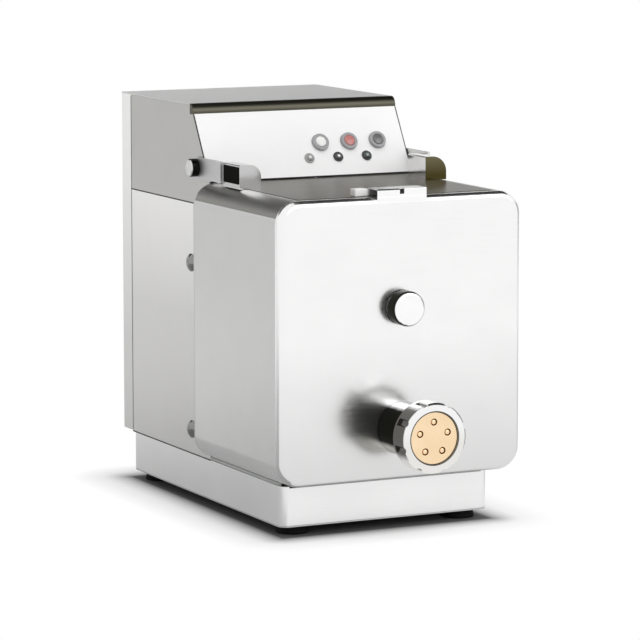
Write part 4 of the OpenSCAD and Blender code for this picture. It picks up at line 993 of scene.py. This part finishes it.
def thread_tree():
    """A helix about Z from 0 up, swept by a round section."""
    ridge = THREAD_DEPTH * 0.8
    tree = Tree("round thread", Radius=THREAD_OUTER_R - ridge, Pitch=THREAD_PITCH,
                Turns=THREAD_TURNS, Ridge=ridge)
    height = tree.math("MULTIPLY", "Turns", "Pitch")
    helix = tree.node("GeometryNodeCurveSpiral", {},
                      {"Resolution": 72, "Rotations": "Turns", "Start Radius": "Radius",
                       "End Radius": "Radius", "Height": height})
    return tree.finish(tree.swept(helix.outputs[0], "Ridge"), "barrel steel")


drawn_in_barrel()
lying = (Matrix.Translation((0, THREAD_BACK_Y - 0.002, AUGER_Z))
         @ Matrix.Rotation(math.pi / 2, 4, "X"))
kept("barrel_thread", thread_tree(), "body", lying)

# %% [markdown]
# ## A pin for the die
# A die makes hollow pasta when a pin stands in the middle of each hole. The pin is carried from
# behind by a spider with three arms, which sits in the wider feed hole, so the dough flows past
# the arms and closes again round the pin. The pin is turned from an outline, and each arm is a
# stretched cube.

# %% The insert's form
PIN_R, PIN_LONG, ARM_LONG, ARM_THICK, ARMS = 0.0031, 0.013, 0.0073, 0.0016, 3


def insert_form(pin_r, pin_l, arm_r, arm_t):
    """A pin along +Y from the origin, with a domed tip and a spider at its rear end."""
    work = bmesh.new()
    outline = [(0.0, 0.0), (pin_r * 0.7, 0.0001), (pin_r, 0.0006), (pin_r, pin_l),
               (0.0, pin_l)]
    verts = [work.verts.new((radius, depth, 0)) for radius, depth in outline]
    edges = [work.edges.new(pair) for pair in zip(verts, verts[1:])]
    bmesh.ops.spin(work, geom=verts + edges, axis=(0, 1, 0), cent=(0, 0, 0), steps=20,
                   angle=math.tau, use_merge=True)
    at = Matrix.Translation((arm_r / 2, pin_l - arm_t, 0))
    size = Matrix.Diagonal((arm_r, arm_t * 1.6, arm_t, 1))
    for arm in range(ARMS):
        made = bmesh.ops.create_cube(work, size=1.0)["verts"]
        turn = Matrix.Rotation(arm * math.tau / ARMS, 4, "Y")
        bmesh.ops.transform(work, verts=made, matrix=turn @ at @ size)
    bmesh.ops.remove_doubles(work, verts=work.verts, dist=1e-6)
    return work


die_insert = form_object("die_insert", insert_form(PIN_R, PIN_LONG, ARM_LONG, ARM_THICK))
print("one insert:", len(die_insert.data.polygons), "faces")

# %% [markdown]
# ## A ring of pins
# The die's five holes stand on a circle. A circle of as many points, stood up and turned until
# its first point is at the top, puts one insert in each hole. The pins ride on the die, so they
# come off with the ring nut.

# %% Die pins
DIE_FRONT_Y, DIE_HOLES, DIE_RING_R = -0.325, 5, 0.31 * 0.066


def ring_tree(form, count, radius):
    """Instances of form on a circle in the XZ plane, the first one at the top."""
    tree = Tree("ring of " + form.name, Count=count, Radius=radius)
    circle = tree.node("GeometryNodeMeshCircle", {}, {"Vertices": "Count", "Radius": "Radius"})
    turned = tree.node("GeometryNodeTransform", {},
                       {"Geometry": tree.stood_up(circle.outputs[0]),
                        "Rotation": (0, -math.pi / 2, 0)})
    return tree.finish(tree.on_points(form, turned.outputs[0]), "bronze")


kept("die_pins", ring_tree(die_insert, DIE_HOLES, DIE_RING_R), body_of_node["extrusion_die"],
     Matrix.Translation((0, DIE_FRONT_Y + 0.0003, AUGER_Z)))

# %% [markdown]
# ## Where the dark beads run
# Where two panels meet, a thin black bead stands for the shade in the joint, as painted shade: at
# the head, at the base, round the control panel and along the rear cover; under the front plate it
# is the painted shadow of the plate's overhang. A thicker grey strip closes the step between the
# tank and the tray. Each bead is listed by the corners of its path.

# %% Paths of the beads
column_low, column_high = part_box("side_panel_left")
SIDE_X, SEAM_Z, FOOT_Z = 0.1498, column_high.z, column_low.z
SEAM_FRONT_Y, SEAM_BACK_Y = 0.022, 0.278
PANEL_EDGE_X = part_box("control_panel")[1].x + 0.0008
PANEL_TOP, PANEL_FOOT = (0.0708, 0.5185), (0.0216, 0.4349)


def along_side(x, z):
    """A level seam on the column's side, from front to back."""
    return [(x, SEAM_FRONT_Y, z), (x, SEAM_BACK_Y, z)]


BEADS = {
    "bead_head_left": along_side(-SIDE_X, SEAM_Z), "bead_head_right": along_side(SIDE_X, SEAM_Z),
    "bead_base_left": along_side(-SIDE_X, FOOT_Z), "bead_base_right": along_side(SIDE_X, FOOT_Z),
    "bead_panel": [(-PANEL_EDGE_X, *PANEL_TOP), (-PANEL_EDGE_X, *PANEL_FOOT),
                   (PANEL_EDGE_X, *PANEL_FOOT), (PANEL_EDGE_X, *PANEL_TOP)],
    # Painted shadow under the front plate's overhang.
    "bead_front": [(-0.138, -0.1950, 0.0638), (0.138, -0.1950, 0.0638)],
}
for side, x in (("left", -SIDE_X), ("right", SIDE_X)):
    BEADS["bead_cover_" + side] = [(x, SEAM_BACK_Y, 0.067), (x, SEAM_BACK_Y, 0.530)]
    BEADS["bead_tank_" + side] = [(x * 0.985, -0.186, 0.0678), (x * 0.985, 0.0185, 0.0678)]
print("beads:", len(BEADS))

# %% [markdown]
# ## Dark beads in the joints, as painted shade
# A bead is a round section swept along its path. The path is a chain of edges: Mesh to Curve
# makes a curve of it, Fillet Curve rounds its corners, and Curve to Mesh does the sweep. The
# bead is sunk by half in the joint, so that it shows as a fine line.

# %% Dark beads, painted shade in the joints
BEAD_R, BEAD_CORNER_R = 0.0009, 0.003
OTHER_RADII = {"cover": 0.0006, "tank": 0.0029, "front": 0.0012}


def path_object(name, points):
    """A chain of edges for a tree to sweep along: it is not linked to the scene."""
    mesh = bpy.data.meshes.new(name)
    mesh.from_pydata(points, [(k, k + 1) for k in range(len(points) - 1)], [])
    return bpy.data.objects.new(name, mesh)


def bead_tree(path, radius, corner, finish):
    """A round bead along the path, with rounded corners."""
    tree = Tree("bead along " + path.name, Radius=radius, Corner=corner)
    source = tree.node("GeometryNodeObjectInfo", {}, {"Object": path})
    line = tree.node("GeometryNodeMeshToCurve", {}, {"Mesh": source.outputs["Geometry"]})
    round_line = tree.node("GeometryNodeFilletCurve", {},
                           {"Curve": line.outputs[0], "Radius": "Corner"})
    return tree.finish(tree.swept(round_line.outputs[0], "Radius"), finish)


# Every bead but the tank's grey strips is a black line of painted shade.
for name, points in BEADS.items():
    place = name.split("_")[1]
    bead = bead_tree(path_object(name + "_path", points), OTHER_RADII.get(place, BEAD_R),
                     BEAD_CORNER_R, "grey plastic" if place == "tank" else "painted joint shade")
    kept(name, bead, "body")

# %% [markdown]
# ## A dark sheet on the lid's bracket
# A thin black sheet on the outer side of the left bracket block is a painted dark reflection: the
# polished block mirrors dark surroundings there. It is a rounded square with a slightly crowned
# face: four loops of points, each a little further out and a little smaller than the one before.

# %% Bracket sheet, a painted dark reflection
PAD_X, PAD_THICK, PAD_CORNER_R = -0.1506, 0.0009, 0.0016
PAD_LOW, PAD_HIGH = (-0.0722, 0.4395), (-0.0262, 0.4618)


def pad_form(side, low, high, thick, corner, steps=32):
    """A rounded square on the plane x = side, its outline from low to high in Y and Z."""
    way = math.copysign(1, side)
    middle = [(a + b) / 2 for a, b in zip(low, high)]
    half = [(b - a) / 2 for a, b in zip(low, high)]
    work = bmesh.new()
    loops = []
    for lift, shrink in ((-0.0002, 0), (thick * 0.6, 0), (thick * 0.9, 0.0004), (thick, 0.0012)):
        loop = []
        for step in range(steps):
            turn = (step + 0.5) * math.tau / steps
            square = [math.copysign(h - corner, f) + (corner - shrink) * f
                      for h, f in zip(half, (math.cos(turn), math.sin(turn)))]
            loop.append(work.verts.new((side + way * lift, middle[0] + square[0],
                                        middle[1] + square[1])))
        loops.append(loop)
    for inner, outer in zip(loops, loops[1:]):
        for k in range(steps):
            after = (k + 1) % steps
            work.faces.new((inner[k], inner[after], outer[after], outer[k])).smooth = True
    for loop in (loops[0], loops[-1]):
        work.faces.new(loop)
    return work


pad_work = pad_form(PAD_X, PAD_LOW, PAD_HIGH, PAD_THICK, PAD_CORNER_R)
bracket_pad = as_object("bracket_pad", pad_work, "painted dark reflection", "lid")
print("pad:", len(bracket_pad.data.vertices), "vertices")

# %% [markdown]
# ## Finger lip under the handle
# The handle's front edge is carried down over the bend of the front plate, as a thin lip with a
# rolled lower edge. Fingers find it from below, and it hides the gap between lid and plate.

# %% Finger lip
LIP_DROP, LIP_LAP, LIP_THICK = 0.0076, 0.0004, 0.0015


def lip_form(half, front, low, high, thick):
    """A strip across X from low to high, whose lower edge is rolled round a half circle."""
    work = bmesh.new()
    outline = [(front, high), (front + thick, high)]
    for step in range(9):
        turn = step * math.pi / 8
        outline.append((front + thick / 2 + thick / 2 * math.cos(turn),
                        low + thick / 2 - thick / 2 * math.sin(turn)))
    ends = [[work.verts.new((x, y, z)) for y, z in outline] for x in (-half, half)]
    for k in range(len(outline)):
        after = (k + 1) % len(outline)
        work.faces.new((ends[0][k], ends[0][after], ends[1][after], ends[1][k]))
    work.faces.new(ends[0])
    work.faces.new(ends[1])
    return work


handle_low, handle_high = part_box("lid_handle")
lip_work = lip_form(handle_high.x, handle_low.y, handle_low.z - LIP_DROP,
                    handle_low.z + LIP_LAP, LIP_THICK)
lip = as_object("handle_lip", lip_work, "handle steel", body_of_node["lid_handle"])
rounded(lip, 0.3)
print("lip:", len(lip.data.vertices), "vertices")

# %% [markdown]
# ## Floor
# The machine stands on a pale floor that keeps its soft shadow. Further out the floor fades into
# plain white light of strength 1, so that no horizon shows: in a studio a sweep of paper does the
# same. The fade is a mask over the distance from the machine's footprint, which drives a Mix
# Shader. Under the footprint and just beside it a painted shadow darkens the floor's colour, deeper
# than the soft light alone makes it under a wide, low tray on four rubber feet.

# %% Floor
FLOOR_HALF, FADE_END, SHADE_TONE, SHADE_REACH = 9.0, 0.085, 0.13, 0.040
FOOTPRINT_HALF_X, FOOTPRINT_HALF_Y, FOOTPRINT_MIDDLE_Y = 0.15, 0.24, 0.04


def plate(name, corners, finish):
    """A flat sheet of the studio, which is not part of the machine."""
    mesh = bpy.data.meshes.new(name)
    mesh.from_pydata(corners, [], [tuple(range(len(corners)))])
    mesh.materials.append(finish)
    made = bpy.data.objects.new(name, mesh)
    scene.collection.objects.link(made)
    return made


def floor_finish(near, far, depth, reach):
    """White from far on; a painted shadow darkens the floor's colour under the machine and as far
    as reach beside it.
    """
    paint = Paint("floor")
    cloud = paint.noise(1.5, detail=2)
    off_x = paint.axis("X").math("ABSOLUTE")
    off_y = (paint.axis("Y") - FOOTPRINT_MIDDLE_Y).math("ABSOLUTE")
    beyond_x = (off_x - FOOTPRINT_HALF_X).math("MAXIMUM", 0.0)
    beyond_y = (off_y - FOOTPRINT_HALF_Y).math("MAXIMUM", 0.0)
    distance = (beyond_x * beyond_x + beyond_y * beyond_y) ** 0.5
    # Painted shadow: the colour falls to depth under the footprint.
    open_floor = distance.ramp(0.0, reach) ** 0.7
    white = paint.mix(cloud, (0.94, 0.94, 0.94), (0.96, 0.96, 0.96))
    paint.set(Base_Color=paint.mix(open_floor, (depth, depth, depth), white), Roughness=0.8)
    sweep = paint.node("ShaderNodeEmission", {}, {"Strength": 1.0})
    fade = distance.ramp(near, far)
    blend = paint.node("ShaderNodeMixShader", {}, {0: fade, 1: paint.shader.outputs[0],
                                                   2: sweep.outputs[0]})
    for found in paint.tree.nodes:
        if found.type == "OUTPUT_MATERIAL":
            paint.tree.links.new(blend.outputs[0], found.inputs[0])
    return paint.material


plate("floor", [(-FLOOR_HALF, -FLOOR_HALF, 0), (FLOOR_HALF, -FLOOR_HALF, 0),
                (FLOOR_HALF, FLOOR_HALF, 0), (-FLOOR_HALF, FLOOR_HALF, 0)],
      floor_finish(0.0, FADE_END, SHADE_TONE, SHADE_REACH))
print("floor:", 2 * FLOOR_HALF, "m wide")

# %% [markdown]
# ## The world
# The world is white, with a strength of 1, wherever the camera, a reflection or a clear part sees
# it directly. As a source of light it is dimmer, so that the lamps can shape the machine.

# %% World
WORLD_LIGHT = 0.62


def studio_world(light):
    """Strength 1 where it is seen, and this strength as a source of light."""
    world = bpy.data.worlds.new("studio")
    scene.world = world
    world.use_nodes = True
    nodes, links = world.node_tree.nodes, world.node_tree.links
    nodes.clear()
    rays = nodes.new("ShaderNodeLightPath")
    lit, seen = (nodes.new("ShaderNodeBackground") for _ in range(2))
    lit.inputs["Strength"].default_value = light
    seen.inputs["Strength"].default_value = 1.0
    for background in (lit, seen):
        background.inputs["Color"].default_value = (1, 1, 1, 1)
    last = rays.outputs["Is Camera Ray"]
    for ray in ("Is Glossy Ray", "Is Transmission Ray"):
        either = nodes.new("ShaderNodeMath")
        either.operation = "MAXIMUM"
        links.new(last, either.inputs[0])
        links.new(rays.outputs[ray], either.inputs[1])
        last = either.outputs[0]
    choice = nodes.new("ShaderNodeMixShader")
    outlet = nodes.new("ShaderNodeOutputWorld")
    links.new(last, choice.inputs[0])
    links.new(lit.outputs[0], choice.inputs[1])
    links.new(seen.outputs[0], choice.inputs[2])
    links.new(choice.outputs[0], outlet.inputs[0])


studio_world(WORLD_LIGHT)
print("world:", scene.world.name, "with a light of", WORLD_LIGHT)

# %% [markdown]
# ## Lamps
# Two large soft lamps: one in front and a little to the right, one overhead. Large lamps give
# soft shadows and wide, gentle highlights. Their power is set so that a white card on the floor
# renders just about white, and a colour renders about as it is written. The overhead lamp gives
# light but shows in no reflection, or it would burn out every bend that faces up.

# %% Lamps
AIM = Vector((0, 0, 0.27))
SOFTBOX_WIDE, SOFTBOX_WATTS = 2.6, 34


def softbox(name, place, size, power, aim=AIM):
    """A square lamp at a place, turned so that it faces the machine."""
    data = bpy.data.lights.new(name, "AREA")
    data.shape = "SQUARE"
    data.size = size
    data.energy = power
    lamp = bpy.data.objects.new(name, data)
    lamp.location = place
    lamp.rotation_euler = (aim - Vector(place)).to_track_quat("-Z", "Y").to_euler()
    scene.collection.objects.link(lamp)
    return lamp


front_lamp = softbox("front_softbox", (1.6, -3.2, 2.2), SOFTBOX_WIDE, SOFTBOX_WATTS)
top_lamp = softbox("top_softbox", (0.3, -0.6, 3.2), SOFTBOX_WIDE, SOFTBOX_WATTS)
top_lamp.visible_glossy = False
print("lamps:", front_lamp.data.energy + top_lamp.data.energy, "W")

# %% [markdown]
# ## Cards for the steel to mirror
# Steel looks like steel because it mirrors both bright and dark places, so a studio stands cards
# round it. These cards are seen by reflections only: the camera, the shadows and the soft light
# pass them. Grey ones stand low at both sides and behind, and lie on the floor, where they tone
# down the side faces; they get paler with distance, so that a side face shades off towards the
# front. Black ones hang high behind and overhead, for the bends that face up.

# %% Cards
FLOOR_CARD_Z, OVERHEAD_CARD_Z = 0.004, 2.6


def card_finish(name, near_glow, far_glow):
    """A card with a glow of its own, 0 black to 1 white, from near to far along Y."""
    paint = Paint(name)
    cloth = paint.noise(40, detail=2) * 0.04
    far = paint.axis("Y").ramp(0.2, 1.1) + cloth
    paint.set(Base_Color=(0.01, 0.01, 0.01), Roughness=0.9,
              Emission_Color=paint.mix(far, (near_glow,) * 3, (far_glow,) * 3),
              Emission_Strength=1.0)
    return paint.material


black_card = card_finish("black card", 0.004, 0.006)
grey_card = card_finish("grey card", 0.40, 0.80)


def seen_in_reflections_only(made):
    """Hides the card from every ray but a glossy one."""
    made.visible_camera = False
    made.visible_diffuse = False
    made.visible_shadow = False
    made.visible_transmission = False


def card(name, low, high, finish):
    """An upright card between two corners."""
    made = plate(name, [(low[0], low[1], low[2]), (high[0], high[1], low[2]),
                        (high[0], high[1], high[2]), (low[0], low[1], high[2])], finish)
    seen_in_reflections_only(made)
    return made


def flat_card(name, low, high, z, finish):
    """A level card over a rectangle."""
    made = plate(name, [(low[0], low[1], z), (high[0], low[1], z), (high[0], high[1], z),
                        (low[0], high[1], z)], finish)
    seen_in_reflections_only(made)
    return made


card("left_card", (-3.2, 2.0, 0.0), (-0.45, 2.6, 0.75), grey_card)
flat_card("left_floor_card", (-1.7, -0.3), (-0.153, 1.9), FLOOR_CARD_Z, grey_card)
card("high_back_card", (-2.6, 3.2, 1.6), (3.2, 3.2, 3.6), black_card)
card("right_card", (3.0, -1.5, 0.0), (3.0, 2.2, 1.1), grey_card)
card("back_card", (-1.3, 3.3, 0.0), (1.6, 3.3, 0.75), grey_card)
flat_card("right_floor_card", (0.153, -0.1), (1.9, 1.9), FLOOR_CARD_Z, grey_card)
flat_card("back_floor_card", (-0.16, 0.32), (0.153, 2.2), FLOOR_CARD_Z, grey_card)
flat_card("overhead_card", (0.2, -1.2), (2.8, 3.2), OVERHEAD_CARD_Z, black_card)

# %% [markdown]
# ## Finish
# The last line sets the view transform to Standard.

# %% Finish
scene.view_settings.view_transform = "Standard"
